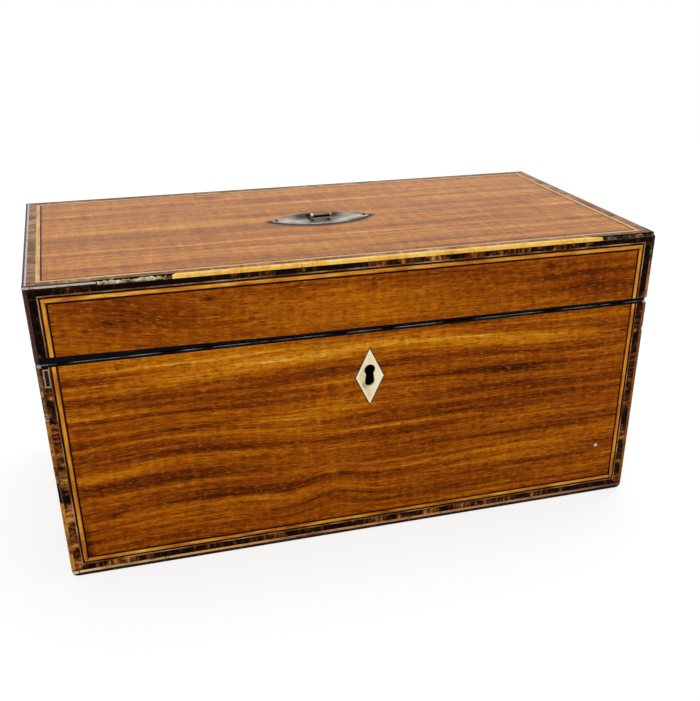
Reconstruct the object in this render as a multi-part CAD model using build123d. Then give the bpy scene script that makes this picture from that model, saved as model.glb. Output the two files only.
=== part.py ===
import os
from math import cos, radians, sin, sqrt

from build123d import *

# An antique rectangular box with a hinged lid, fitted inside with two notched knife racks.
# Millimetres, +Z up. The origin is the middle of the underside; the front faces -Y.

# ---- Driving dimensions --------------------------------------------------------------------
# The whole box, over its veneers
box_width = 300.0
box_depth = 156.0
box_height = 145.6
body_height = 110.6          # top of the lip facing on the body
joint_gap = 0.4              # shut lid: clear of the body all round

# Carcase
board = 9.0                  # side, front and back boards
base_board = 6.0
top_board = 8.0
veneer = 1.0
lip = 1.3                    # ebony facing on each edge of the joint
lip_round = 0.4
lip_corner = 1.6             # corners of the facings, worn off at a slant
lip_taper = 1.6              # lid's front facing, made up at the left where the lid has risen
lip_taper_end = -40.0
lining = 0.7                 # baize
lining_gap = 0.3             # cut back round the lock

# Inlay, from the arris inward
edge_line = 1.8              # square stringing let into every arris
edge_round = 0.35
foot_corner = 3.2            # front corners at the foot, worn round
head_corner = 1.7            # right front corner of the lid
foot_line = 1.2              # boxwood line between the foot's stringing and its banding
crossband = 3.4              # cross-grained banding up the sides of a face
foot_crossband = 3.2         # the same along the foot of the body
head_crossband = 2.5         # and along the top of the lid's faces
top_crossband = 3.8          # and on top of the lid
tan_line = 0.55
dark_line = 0.8
light_line = 1.85
inner_dark_line = 0.8

# Lengths of edge stringing still in place or lost, along the lid's front arris
lid_ebony_end = -120.0
lid_boxwood_start = -88.0
lid_boxwood_crack = -30.4
lid_boxwood_end = 120.5
scarf = 7.0                  # slant of a scarfed end
short_slant = 2.0            # slant of a broken end
crack = 0.25
chip = 0.9
# and up the body's left front arris
left_stub_top = 17.5
left_lower_start = 21.0
left_lower_end = 40.9
left_upper_start = 59.6
left_upper_end = 83.0
# and up its right front arris
right_chip_low = 94.2
right_chip_high = 96.4

# Escutcheon and keyhole
key_x = 1.2
key_down = 20.3              # axis of the lock's pin, below the top of the body
key_eye = 5.6
key_waist = 4.0
key_foot = 5.0
key_drop = 8.4               # from the eye's centre down to the foot of the hole
diamond_width = 14.0
diamond_height = 28.5
diamond_down = 23.9          # its middle, below the top of the body
diamond_proud = 0.15
inlay_gap = 0.2
key_clear = 0.3              # hole in the wood and in the lock, wider than in the bone

# Lock
lock_width = 52.0
lock_wood = 1.0              # board left in front of the lock
lock_sheet = 0.8
lock_back = 1.2
lock_rim_width = 40.0
lock_down = 31.6             # foot of the back plate, below the top of the body
lock_rim_down = 29.6
lock_fit = 0.1               # lock in its mortise
lock_post = 1.2              # radius of the pin that the key turns on
post_seat = 0.8              # pin riveted this deep in the back plate
post_gap = 0.5               # pin short of the cap
bolt_throw = 4.2
bolt_clear = 0.6             # fingers short of the link plate's tabs, unlocked
bolt_thick = 2.2
bolt_down = 14.4             # underside of the bolt, below the top of the body
bolt_bar = 4.0
bolt_finger = 2.6
bolt_fit = 0.1
bolt_root = 1.0              # finger's root in its post
talon_width = 3.6            # notch under the bolt that the key's bit catches
talon_depth = 1.8
hook_width = 3.0             # post of each bolt hook
hook_reach = 4.4             # its finger, past the post
ledge = 1.2
ledge_reach = 8.0            # ledges stop here, either side of the key
ledge_gap = 0.2
lock_screw_edge = 3.0
lock_screw_low = 5.0         # above the foot of the back plate
lock_screw_high = 7.0        # below the top of the wall

# Link plate on the lid
link_tab = 1.6
link_tab_width = 4.6
link_tab_drop = 9.8
link_eye_width = 2.9
link_eye_height = 3.4
link_eye_foot = 1.6          # brass left under the eye
link_tab_round = 1.2
link_screw_edge = 5.0
link_spread = 10.0           # tabs, either side of the keyhole
link_fit = 0.5

# Hinges
hinge_x = 95.0
hinge_length = 38.0
leaf_width = 8.5             # let into the wall, from the back face
leaf_root = 0.8              # leaf stops this far short of the pin's axis
hinge_screw_spread = 13.0
hinge_screw_in = 3.4         # outer screws, from the back face
hinge_middle_screw_in = 5.4
knuckle = 2.2                # radius
knuckle_out = 2.5            # pin axis behind the back face
knuckles = 5
knuckle_gap = 0.15
hinge_pin = 1.0              # radius
pin_fit = 0.05
stop_reach = 5.4             # from the pin to the tip of the stop
stop_thick = 1.3
stop_root = 0.4              # stop starts this far outside the pin
stop_angle = 48.0            # each stop from the level, with the lid shut
stop_clear = 0.3

# Countersunk wood screws
screw_head = 4.0
screw_shank = 2.0
screw_sides = 12             # hand-filed, so not truly round
screw_length = 8.0
lock_screw_length = 5.5
screw_slot = 0.5
screw_sunk = 0.05
pilot_fit = 0.05

# Handle
handle_x = -2.2
handle_y = -1.4
plate_length = 55.4
plate_width = 23.5
plate_thick = 1.5
plate_proud = 0.3            # rim, above the lid's top
plate_fit = 0.1              # plate in its recess
plate_margin = 1.2           # flat rim beside the hollow
tip_margin = 6.0             # flat at each tip, for the nail
hollow_depth = 1.0
hollow_slope = 2.2           # width of the sloping side, round the hollow's floor
well_width = 11.2
well_front = 0.9             # from the plate's middle
well_back = 9.6
well_depth = 2.5             # below the lid's top
well_sheet = 0.6
well_fit = 0.1
bail_width = 10.6
bail_arm = 1.7
arm_root = 1.4               # arm at its full height, behind the grip
arm_seat = 0.6               # and let into it
arm_low = -0.35              # its underside there, from the lid's top
arm_height = 1.5
grip_front = -2.0            # from the plate's middle
grip_depth = 2.6
grip_low = 0.1
grip_height = 2.7
grip_round = 0.5
groove_low = 0.75            # groove along the grip's front
groove_height = 0.8
groove_depth = 1.2
bail_lug = 1.0               # radius of each arm's eye
bail_pin = 0.5
bail_pin_up = -1.1           # pin axis, from the lid's top
lug_clear = 1.4              # eyes short of the well's back
nail_spread = 23.5
nail_head = 1.1
nail_shank = 0.6
nail_length = 6.0
nail_rise = 0.66             # height of the domed head
nail_tip_gap = 0.2

# Knife racks
rack_thick = 10.0
rack_height = 66.0
knives = 6
knife_pitch = 21.5
blade_rack_x = -78.0
handle_rack_x = 92.0
blade_slot = 3.0
blade_slot_depth = 34.0
handle_notch = 15.0
handle_notch_depth = 20.0

# ---- Levels and faces worked out from them -------------------------------------------------
half_x, half_y = box_width / 2, box_depth / 2
wall = board + veneer
board_x, board_y = half_x - veneer, half_y - veneer          # outer faces of the boards
inner_x, inner_y = half_x - wall, half_y - wall              # inner faces of the boards
wall_top = body_height - lip                                 # wood of the body stops here
lid_low = body_height + joint_gap                            # underside of the lid's facing
lid_wood = lid_low + lip                                     # wood of the lid starts here
board_top = box_height - veneer
lid_ceiling = board_top - top_board
pin_y, pin_z = half_y + knuckle_out, body_height + joint_gap / 2
key_z = body_height - key_down
diamond_z = body_height - diamond_down
lock_foot, lock_rim_foot = body_height - lock_down, body_height - lock_rim_down
bolt_low = body_height - bolt_down
lock_face = -board_y + lock_wood                             # front of the lock's mortise
lock_inner = -inner_y - lock_back                            # inside of its back plate
lock_mid = (lock_face + lock_sheet + lock_inner) / 2
bolt_rest = key_x - link_spread - link_tab / 2 - bolt_clear  # tip of the first finger, unlocked
eye_foot = lid_wood - link_tab_drop + link_eye_foot
bail_pivot_y = well_back - lug_clear - bail_lug              # from the plate's middle


def block(x0, x1, y0, y1, z0, z1):
    """A box between two corners."""
    return Pos((x0 + x1) / 2, (y0 + y1) / 2, (z0 + z1) / 2) * Box(x1 - x0, y1 - y0, z1 - z0)


def rod(start, end, radius):
    """A cylinder from one point to another."""
    line = Vector(*end) - Vector(*start)
    return Plane(origin=start, z_dir=line) * Cylinder(
        radius, line.length, align=(Align.CENTER, Align.CENTER, Align.MIN))


def write(node, pieces):
    """Write one node's solids, in a group where there are several."""
    solids = [s for piece in pieces for s in piece.solids()]
    export_step(solids[0] if len(solids) == 1 else Compound(children=solids), f"parts/{node}.step")


# ---- Veneers and inlay ---------------------------------------------------------------------
FACES = {
    "front": Plane(origin=(0, -half_y, 0), x_dir=(1, 0, 0), z_dir=(0, -1, 0)),
    "back": Plane(origin=(0, half_y, 0), x_dir=(-1, 0, 0), z_dir=(0, 1, 0)),
    "left": Plane(origin=(-half_x, 0, 0), x_dir=(0, -1, 0), z_dir=(-1, 0, 0)),
    "right": Plane(origin=(half_x, 0, 0), x_dir=(0, 1, 0), z_dir=(1, 0, 0)),
    "top": Plane(origin=(0, 0, box_height), x_dir=(1, 0, 0), z_dir=(0, 0, 1)),
}


def ring_quads(outer, inner):
    """The mitred quadrilaterals between two rectangles; a side with no width gives none."""
    (a0, b0, a1, b1), (c0, d0, c1, d1) = outer, inner
    quads = []
    if c0 > a0:
        quads += [[(a0, b0), (c0, d0), (c0, d1), (a0, b1)],
                  [(a1, b0), (a1, b1), (c1, d1), (c1, d0)]]
    if d0 > b0:
        quads.append([(a0, b0), (a1, b0), (c1, d0), (c0, d0)])
    if b1 > d1:
        quads.append([(a0, b1), (c0, d1), (c1, d1), (a1, b1)])
    return quads


def slice_of(face, quad):
    """One piece of veneer, laid on a face of the carcase."""
    return extrude(FACES[face] * Polygon(*quad, align=None), amount=-veneer)


def inlay(face, rect, steps):
    """Veneer a face from its edge inward: rings of banding and lines, then the field."""
    pieces = {"crossband": [], "boxwood": [], "ebony": [], "field": []}
    for wood, side, foot, head in steps:
        inner = (rect[0] + side, rect[1] + foot, rect[2] - side, rect[3] - head)
        pieces[wood] += [slice_of(face, quad) for quad in ring_quads(rect, inner)]
        rect = inner
    u0, v0, u1, v1 = rect
    pieces["field"].append(slice_of(face, [(u0, v0), (u1, v0), (u1, v1), (u0, v1)]))
    return pieces


def face_steps(foot, head, foot_band=crossband, head_band=crossband):
    """Banding and lines of an upright face; foot or head is 0 where the face runs to the joint."""
    lines = (("boxwood", tan_line), ("ebony", dark_line), ("boxwood", light_line), ("ebony", inner_dark_line))
    widths = [("crossband", crossband, foot_band, head_band)] + [(wood, w, w, w) for wood, w in lines]
    return [(wood, side, low * foot, high * head) for wood, side, low, high in widths]


def half_length(face):
    """Half the width of a face inside its edge stringing."""
    return (half_x if face in ("front", "back", "top") else half_y) - edge_line


def body_inlay(face):
    half = half_length(face)
    steps = [] if face == "back" else [("boxwood", 0, foot_line, 0),
                                       *face_steps(foot=1, head=0, foot_band=foot_crossband)]
    laid = inlay(face, (-half, edge_line, half, wall_top), steps)
    return laid if face == "back" else cut_woods(laid, FOOT_CORNERS)


def lid_inlay(face):
    half = half_length(face)
    steps = [] if face == "back" else face_steps(foot=0, head=1, head_band=head_crossband)
    return inlay(face, (-half, lid_wood, half, box_height - edge_line), steps)


def top_inlay():
    x, y = half_x - edge_line, half_y - edge_line
    rings = (("crossband", top_crossband), ("boxwood", light_line), ("ebony", inner_dark_line))
    return inlay("top", (-x, -y, x, y), [(wood, w, w, w) for wood, w in rings])


# ---- Worn corners --------------------------------------------------------------------------
def worn_corner(side, level, up, radius):
    """What wear took from a front corner, outside a ball; up is 1 at the foot and -1 at the head."""
    x, y, z = side * (half_x - radius), radius - half_y, level + up * radius
    around = block(*sorted((x, side * (half_x + 1))), -half_y - 1, y, *sorted((z, level - up)))
    return around - Pos(x, y, z) * Sphere(radius)


FOOT_CORNERS = [worn_corner(side, 0, 1, foot_corner) for side in (-1, 1)]


def cut_all(pieces, tools):
    """Take every tool from every piece."""
    return [piece - tools for piece in pieces]


def cut_woods(woods, tools):
    """The same for an inlay, whose pieces are kept by their wood."""
    return {wood: cut_all(pieces, tools) for wood, pieces in woods.items()}


# ---- Edge stringing ------------------------------------------------------------------------
def arris_bars(z0, z1, level_z):
    """Square bars in the four upright arrises, and in the four level ones at one height."""
    s = edge_line
    x, y = half_x - s, half_y - s
    upright = {f"{fb}_{lr}": block(*sorted((sx * half_x, sx * x)), *sorted((sy * half_y, sy * y)), z0, z1)
               for fb, sy in (("front", -1), ("back", 1)) for lr, sx in (("left", -1), ("right", 1))}
    low, high = level_z
    level = {"front": block(-x, x, -half_y, -y, low, high), "back": block(-x, x, y, half_y, low, high),
             "left": block(-half_x, -x, -y, y, low, high), "right": block(x, half_x, -y, y, low, high)}
    return upright, level


def eased(bar):
    """A bar with its outermost long edges rounded over."""
    def outermost(edge):
        c = edge.center()
        on_x, on_y = abs(abs(c.X) - half_x) < 0.01, abs(abs(c.Y) - half_y) < 0.01
        on_z = c.Z < 0.01 or c.Z > box_height - 0.01
        return on_x + on_y + on_z >= 2 and edge.length > 3 * edge_line
    return fillet([e for e in bar.edges() if outermost(e)], edge_round)


def front_length(x0, x1, slant0=0.0, slant1=0.0):
    """A length of stringing in the lid's front arris, its ends cut at a slant seen from above."""
    y0, y1 = -half_y, -half_y + edge_line
    outline = Polygon((x0, y0), (x1, y0), (x1 - slant1, y1), (x0 + slant0, y1), align=None)
    return extrude(Pos(0, 0, box_height - edge_line) * outline, amount=edge_line)


def left_length(z0, z1, slant=0.0):
    """A length of stringing in the body's left front arris, its foot cut at a slant."""
    x0, x1 = -half_x, -half_x + edge_line
    outline = Polygon((x0, z0 - slant), (x1, z0), (x1, z1), (x0, z1), align=None)
    return extrude(FACES["front"] * outline, amount=-edge_line)


def body_edges():
    """Boxwood and ebony stringing of the body, with the lengths that are lost left out."""
    upright, level = arris_bars(0, wall_top, (0, edge_line))
    right = upright["front_right"] - block(half_x - chip, half_x + 1, -half_y - 1, -half_y + chip,
                                           right_chip_low, right_chip_high)
    boxwood = [left_length(0, left_stub_top), left_length(left_lower_start, left_lower_end),
               left_length(left_upper_start, left_upper_end, scarf / 2), right,
               upright["back_left"], upright["back_right"]]
    ebony = list(level.values())
    return tuple(cut_all([eased(b) for b in bars], FOOT_CORNERS) for bars in (boxwood, ebony))


def lid_edges():
    """Boxwood and ebony stringing of the lid; part of the front arris is bare rebate."""
    upright, level = arris_bars(lid_wood, box_height, (box_height - edge_line, box_height))
    x = half_x - edge_line
    boxwood = [front_length(lid_boxwood_start, lid_boxwood_crack - crack, slant0=short_slant),
               front_length(lid_boxwood_crack, lid_boxwood_end, slant1=scarf)]
    ebony = [front_length(-x, lid_ebony_end, slant1=short_slant), *upright.values(),
             level["back"], level["left"], level["right"]]
    worn = worn_corner(1, box_height, -1, head_corner)
    return [eased(b) for b in boxwood], cut_all([eased(b) for b in ebony], [worn])


# ---- Lip facings ---------------------------------------------------------------------------
def lip_ring(z0, outer_edge_z):
    """Four mitred facings on an edge of the joint, the outer arris rounded."""
    outline = chamfer(Rectangle(box_width, box_depth).vertices(), lip_corner)
    ring = extrude(Pos(0, 0, z0) * (outline - Rectangle(2 * inner_x, 2 * inner_y)), amount=lip)
    rim = [e for e in ring.edges().filter_by_position(Axis.Z, outer_edge_z, outer_edge_z)
           if abs(e.center().X) > inner_x + 1 or abs(e.center().Y) > inner_y + 1]
    ring = fillet(rim, lip_round)
    quads = ring_quads((-half_x, -half_y, half_x, half_y), (-inner_x, -inner_y, inner_x, inner_y))
    return [ring & extrude(Pos(0, 0, z0) * Polygon(*quad, align=None), amount=lip) for quad in quads]


def lip_made_up():
    """Long wedge of ebony let into the lid's front veneers, over its facing."""
    x = -half_x + edge_line
    outline = Polygon((x, lid_wood), (lip_taper_end, lid_wood), (x, lid_wood + lip_taper), align=None)
    return extrude(FACES["front"] * outline, amount=-veneer)


# ---- Screws --------------------------------------------------------------------------------
def screw_form(extra=0.0, length=screw_length):
    """Blunt countersunk screw, head up at z = 0; extra swells it into the hole that it goes in."""
    head, shank = screw_head / 2 + extra, screw_shank / 2 + extra
    steps = ((0, head), (head - shank, shank), (length + extra, shank))
    return loft([Pos(0, 0, -depth) * RegularPolygon(radius, screw_sides) for depth, radius in steps],
                ruled=True)


def screw(length=screw_length):
    """The screw with its slot, the head a touch below the surface."""
    slot = Box(screw_head + 1, screw_slot, screw_slot * 2)
    return Pos(0, 0, -screw_sunk) * (screw_form(0, length) - slot)


def at(spots, shape):
    """Copies of a shape at each placement."""
    return [spot * shape for spot in spots]


HINGE_SPOTS = [(sx * hinge_x + dx, y) for sx in (-1, 1)
               for dx, y in ((-hinge_screw_spread, half_y - hinge_screw_in),
                             (0, half_y - hinge_middle_screw_in),
                             (hinge_screw_spread, half_y - hinge_screw_in))]
BODY_HINGE_SCREWS = [Pos(x, y, body_height) for x, y in HINGE_SPOTS]
LID_HINGE_SCREWS = [Pos(x, y, lid_low) * Rot(180, 0, 0) for x, y in HINGE_SPOTS]
LOCK_SCREWS = [Pos(key_x + sx * (lock_width / 2 - lock_screw_edge), -inner_y, z) * Rot(-90, 0, 0)
               for sx in (-1, 1) for z in (lock_foot + lock_screw_low, wall_top - lock_screw_high)]
LINK_SCREWS = [Pos(key_x + sx * (lock_width / 2 - link_screw_edge), lock_mid, lid_low) * Rot(180, 0, 0)
               for sx in (-1, 1)]


# ---- Keyhole and escutcheon ----------------------------------------------------------------
def keyhole(grow=0.0):
    """Outline of the keyhole seen from the front: a round eye, a waist and a rounded foot."""
    eye, waist, foot = key_eye / 2 + grow, key_waist / 2 + grow, key_foot / 2 + grow
    neck_z = key_z - sqrt(eye ** 2 - waist ** 2)
    foot_z = key_z - key_drop + key_foot / 2
    neck_left, neck_right = (key_x - waist, neck_z), (key_x + waist, neck_z)
    foot_left, foot_right = (key_x - foot, foot_z), (key_x + foot, foot_z)
    return make_face([ThreePointArc(neck_left, (key_x, key_z + eye), neck_right),
                      Line(neck_right, foot_right),
                      ThreePointArc(foot_right, (key_x, foot_z - foot), foot_left),
                      Line(foot_left, neck_left)])


def through_front(outline, y0, y1):
    """Push an outline on the front face through from y0 to y1."""
    plane = Plane(origin=(0, y1, 0), x_dir=(1, 0, 0), z_dir=(0, -1, 0))
    return extrude(plane * outline, amount=y1 - y0)


def diamond(grow=0.0):
    w, h = diamond_width / 2 + grow, diamond_height / 2 + 2 * grow
    return Polygon((key_x - w, diamond_z), (key_x, diamond_z - h), (key_x + w, diamond_z),
                   (key_x, diamond_z + h), align=None)


def escutcheon():
    return through_front(diamond() - keyhole(), -half_y - diamond_proud, -board_y)


# ---- Lock ----------------------------------------------------------------------------------
def lock_space(grow=0.0):
    """What the lock fills in the front wall: rim box, back plate and selvedge."""
    rim, plate = lock_rim_width / 2 + grow, lock_width / 2 + grow
    back, top = -inner_y + 1, wall_top + 1
    return (block(key_x - rim, key_x + rim, lock_face - grow, back, lock_rim_foot - grow, top)
            + block(key_x - plate, key_x + plate, lock_inner - grow, back, lock_foot - grow, top))


def selvedge_space(grow=0.0):
    plate = lock_width / 2 + grow
    return block(key_x - plate, key_x + plate, lock_face - grow, -inner_y + 1, wall_top - 1, body_height + 1)


def tab_spots():
    return [key_x - link_spread, key_x + link_spread]


def tab_block(x, grow, low, high):
    """One tab of the link plate, grown all round, between two levels."""
    thick, width = link_tab / 2 + grow, link_tab_width / 2 + grow
    return block(x - thick, x + thick, lock_mid - width, lock_mid + width, low, high)


def lock_case():
    """Brass back plate, selvedge and rim in one, with ledges that carry the bolt."""
    rim, plate = lock_rim_width / 2, lock_width / 2
    cavity_front = lock_face + lock_sheet
    case = block(key_x - rim, key_x + rim, cavity_front, lock_inner, lock_rim_foot, wall_top)
    case -= block(key_x - rim + lock_sheet, key_x + rim - lock_sheet, cavity_front - 1, lock_inner,
                  lock_rim_foot + lock_sheet, wall_top)
    case += block(key_x - plate, key_x + plate, lock_inner, -inner_y, lock_foot, body_height)
    case += block(key_x - plate, key_x + plate, lock_face, -inner_y, wall_top, body_height)
    for x0, x1 in ((-rim + lock_sheet, -ledge_reach), (ledge_reach, rim - lock_sheet)):
        case += block(key_x + x0, key_x + x1, cavity_front + ledge_gap, lock_inner,
                      bolt_low - bolt_fit - ledge, bolt_low - bolt_fit)
    for x in tab_spots():
        case -= tab_block(x, link_fit, wall_top - 1, body_height + 1)
    case -= rod((key_x, lock_inner - 1, key_z), (key_x, lock_inner + post_seat, key_z),
                lock_post + pilot_fit)
    return case - at(LOCK_SCREWS, screw_form(pilot_fit, lock_screw_length))


def lock_cap():
    """Front sheet of the lock, pierced for the key."""
    rim = lock_rim_width / 2
    back = lock_face + lock_sheet
    sheet = block(key_x - rim, key_x + rim, lock_face, back, lock_rim_foot, wall_top)
    return sheet - through_front(keyhole(key_clear), lock_face - 1, back + 1)


def lock_pin():
    """Post riveted in the back plate; a hollow key turns on it."""
    return rod((key_x, lock_face + lock_sheet + post_gap, key_z),
               (key_x, lock_inner + post_seat, key_z), lock_post)


def bolt_hook(x):
    """Post and finger of one hook, its finger tip at x."""
    y0, y1 = lock_mid - bolt_thick / 2, lock_mid + bolt_thick / 2
    eye_mid = eye_foot + link_eye_height / 2
    low, high = eye_mid - bolt_finger / 2, eye_mid + bolt_finger / 2
    post = block(x - hook_reach - hook_width, x - hook_reach, y0, y1, bolt_low, high)
    return post + block(x - hook_reach - bolt_root, x, y0, y1, low, high)


def lock_bolt():
    """Steel bolt: a bar with two hooks and a talon that the key's bit catches."""
    y0, y1 = lock_mid - bolt_thick / 2, lock_mid + bolt_thick / 2
    tips = [bolt_rest, bolt_rest + 2 * link_spread]
    bar = block(tips[0] - hook_reach - hook_width, tips[1], y0, y1, bolt_low, bolt_low + bolt_bar)
    talon = block(key_x - talon_width / 2, key_x + talon_width / 2, y0 - 1, y1 + 1,
                  bolt_low - 1, bolt_low + talon_depth)
    return bar + bolt_hook(tips[0]) + bolt_hook(tips[1]) - talon


def link_plate():
    """Brass plate let into the lid's facing, with two pierced tabs that drop into the lock."""
    plate = lock_width / 2
    link = block(key_x - plate, key_x + plate, lock_face, -inner_y, lid_low, lid_wood)
    for x in tab_spots():
        tab = tab_block(x, 0, lid_wood - link_tab_drop, lid_wood)
        tab = fillet([e for e in tab.edges().filter_by(Axis.X) if e.center().Z < lid_low],
                     link_tab_round)
        eye = block(x - link_tab, x + link_tab, lock_mid - link_eye_width / 2,
                    lock_mid + link_eye_width / 2, eye_foot, eye_foot + link_eye_height)
        link = link + tab - eye
    return link - at(LINK_SCREWS, screw_form(pilot_fit))


def link_space(grow=0.0):
    plate = lock_width / 2 + grow
    return block(key_x - plate, key_x + plate, lock_face - grow, -inner_y + 1,
                 lid_low - 1, lid_wood)


# ---- Hinges --------------------------------------------------------------------------------
def profile_yz(points):
    """A closed outline in the YZ plane, taken about the hinge pin."""
    plane = Plane(origin=(0, pin_y, pin_z), x_dir=(0, 1, 0), z_dir=(1, 0, 0))
    return plane * Polygon(*points, align=None)


def stop_points(side):
    """Outline of a stop: a flat tail behind the pin, slanting down (side -1) or up (side 1)."""
    c, s = cos(radians(stop_angle)), side * sin(radians(stop_angle))
    start = hinge_pin + stop_root
    back = (-s * stop_thick * side, c * stop_thick * side)
    return [(start * c, start * s), (stop_reach * c, stop_reach * s),
            (stop_reach * c + back[0], stop_reach * s + back[1]),
            (start * c + back[0], start * s + back[1])]


def hinge_leaf(side):
    """One leaf at x = 0: side -1 is screwed to the body, side 1 to the lid."""
    half, pitch = hinge_length / 2, hinge_length / knuckles
    level = sorted((side * joint_gap / 2, side * (joint_gap / 2 + lip)))
    sheet = block(-half, half, half_y - leaf_width, pin_y - leaf_root,
                  pin_z + level[0], pin_z + level[1])
    tail = Pos(-half, 0, 0) * extrude(profile_yz(stop_points(side)), amount=hinge_length, dir=(1, 0, 0))
    barrel = rod((-half, pin_y, pin_z), (half, pin_y, pin_z), knuckle)
    leaf = sheet + tail + barrel
    for k in range(knuckles):
        x0, x1 = -half + k * pitch, -half + (k + 1) * pitch
        if (k % 2 == 0) == (side < 0):
            continue
        leaf -= rod((x0 - knuckle_gap, pin_y, pin_z), (x1 + knuckle_gap, pin_y, pin_z), knuckle + stop_clear)
    return leaf - rod((-half - 1, pin_y, pin_z), (half + 1, pin_y, pin_z), hinge_pin + pin_fit)


def hinge_leaves(side, screws):
    """Both hinges' leaves on one side, drilled for their screws."""
    leaf = hinge_leaf(side)
    return [Pos(sx * hinge_x, 0, 0) * leaf - at(screws, screw_form(pilot_fit)) for sx in (-1, 1)]


def leaf_spaces(z0, z1):
    """Gaps in a facing where the hinge leaves lie."""
    return [block(x - hinge_length / 2, x + hinge_length / 2, half_y - leaf_width, half_y + 1, z0, z1)
            for x in (-hinge_x, hinge_x)]


def hinge_pins():
    half = hinge_length / 2
    return [rod((x - half, pin_y, pin_z), (x + half, pin_y, pin_z), hinge_pin)
            for x in (-hinge_x, hinge_x)]


# ---- Body carcase --------------------------------------------------------------------------
def arris_rebates(z0, z1):
    """Rebates for the edge stringing in the carcase's four upright arrises."""
    x, y = half_x - edge_line, half_y - edge_line
    return [block(*sorted((sx * x, sx * (half_x + 1))), *sorted((sy * y, sy * (half_y + 1))), z0, z1)
            for sx in (-1, 1) for sy in (-1, 1)]


def level_rebate(z0, z1):
    """Rebate for the stringing round a level edge: all outside the banding."""
    x, y = half_x - edge_line, half_y - edge_line
    return block(-half_x, half_x, -half_y, half_y, z0, z1) - block(-x, x, -y, y, z0 - 1, z1 + 1)


def long_board(side, z0, z1):
    """Front (side -1) or back (side 1) board."""
    y0, y1 = sorted((side * board_y, side * inner_y))
    return block(-board_x, board_x, y0, y1, z0, z1) - arris_rebates(z0 - 1, z1 + 1)


def end_board(side, z0, z1):
    """Left (side -1) or right (side 1) board, between the long ones."""
    x0, x1 = sorted((side * board_x, side * inner_x))
    return block(x0, x1, -inner_y, inner_y, z0, z1)


def body_front_board():
    wood = long_board(-1, base_board, wall_top) - lock_space(lock_fit)
    wood -= through_front(keyhole(key_clear), -board_y - 1, lock_face + 1)
    return wood - at(LOCK_SCREWS, screw_form(pilot_fit, lock_screw_length))


def body_back_board():
    return long_board(1, base_board, wall_top) - at(BODY_HINGE_SCREWS, screw_form(pilot_fit))


def body_base():
    plate = block(-board_x, board_x, -board_y, board_y, 0, base_board)
    return plate - level_rebate(-1, edge_line) - arris_rebates(-1, base_board + 1)


# ---- Lid carcase ---------------------------------------------------------------------------
def lid_front_board():
    return long_board(-1, lid_wood, lid_ceiling) - at(LINK_SCREWS, screw_form(pilot_fit))


def lid_back_board():
    return long_board(1, lid_wood, lid_ceiling) - at(LID_HINGE_SCREWS, screw_form(pilot_fit))


def lid_top():
    plate = block(-board_x, board_x, -board_y, board_y, lid_ceiling, board_top)
    plate -= level_rebate(box_height - edge_line, box_height)
    plate -= arris_rebates(lid_ceiling - 1, box_height)
    return plate - plate_blank(plate_fit) - well_outside() - at(nail_spots(), nail_hole())


# ---- Handle --------------------------------------------------------------------------------
def on_lid(x, y, z=0.0):
    """A point given from the handle's centre on the lid's surface."""
    return Pos(handle_x + x, handle_y + y, box_height + z)


def well_box(grow, low, high):
    """Upright walls of the handle's well, grown outward, between two levels."""
    return on_lid(0, 0) * block(-well_width / 2 - grow, well_width / 2 + grow, well_front - grow,
                                well_back + grow, low, high)


def well_outside():
    return well_box(well_sheet + well_fit, -well_depth - well_sheet - well_fit, 1)


def navette(length, width):
    """Pointed oval of two equal arcs."""
    tip, side = length / 2, width / 2
    return make_face([ThreePointArc((-tip, 0), (0, side), (tip, 0)),
                      ThreePointArc((tip, 0), (0, -side), (-tip, 0))])


def plate_blank(grow=0.0):
    """The plate before it is hollowed; grown, the recess that it lies in."""
    outline = navette(plate_length + 2 * grow, plate_width + 2 * grow)
    return on_lid(0, 0, plate_proud - plate_thick - grow) * extrude(outline, amount=plate_thick + grow)


def plate_hollow():
    """Shallow hollow of the plate, pointed at both ends, its side sloping down to a floor."""
    length, width = plate_length - 2 * tip_margin, plate_width - 2 * plate_margin
    drawn_in = 2 * hollow_slope
    floor = navette(length - drawn_in * length / width, width - drawn_in)
    return loft([on_lid(0, 0, plate_proud - hollow_depth) * floor,
                 on_lid(0, 0, plate_proud) * navette(length, width)], ruled=True)


def handle_plate():
    """Plated brass plate let into the lid: a flat rim, a hollow, and a well for the bail's arms."""
    cup_top = plate_proud - (plate_thick + hollow_depth) / 2
    cup = well_box(well_sheet, -well_depth - well_sheet, cup_top)
    plate = plate_blank() - plate_hollow() + cup - well_box(0, -well_depth, plate_proud)
    return plate - bail_pin_rod(pin_fit) - at(nail_spots(), nail_hole())


def bail_pin_rod(grow=0.0):
    """The bail's pivot, from wall to wall of the well."""
    reach = well_width / 2 + well_sheet
    y, z = handle_y + bail_pivot_y, box_height + bail_pin_up
    return rod((handle_x - reach, y, z), (handle_x + reach, y, z), bail_pin + grow)


def bail_grip():
    """Moulded bar across the arms' ends: a broad bead over a thin one."""
    half = bail_width / 2
    bar = block(-half, half, grip_front, grip_front + grip_depth, grip_low, grip_low + grip_height)
    bar = fillet(bar.edges().filter_by(Axis.X), grip_round)
    return bar - block(-half - 1, half + 1, grip_front - 1, grip_front + groove_depth,
                       groove_low, groove_low + groove_height)


def bail_arm_side():
    """Side view of an arm, tapering from the grip down to its eye."""
    y = grip_front + grip_depth + (arm_root - arm_seat) / 2
    root = Pos(y, arm_low + arm_height / 2) * Rectangle(arm_root + arm_seat, arm_height)
    eye = Pos(bail_pivot_y, bail_pin_up) * Circle(bail_lug)
    return make_hull([*root.edges(), *eye.edges()])


def bail():
    """Small folding handle that lies back in the plate, its grip across the middle."""
    form = bail_grip()
    for x in (-bail_width / 2, bail_width / 2 - bail_arm):
        form += extrude(Plane(origin=(x, 0, 0), x_dir=(0, 1, 0), z_dir=(1, 0, 0)) * bail_arm_side(),
                        amount=bail_arm)
    return on_lid(0, 0) * form - bail_pin_rod(pin_fit)


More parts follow.
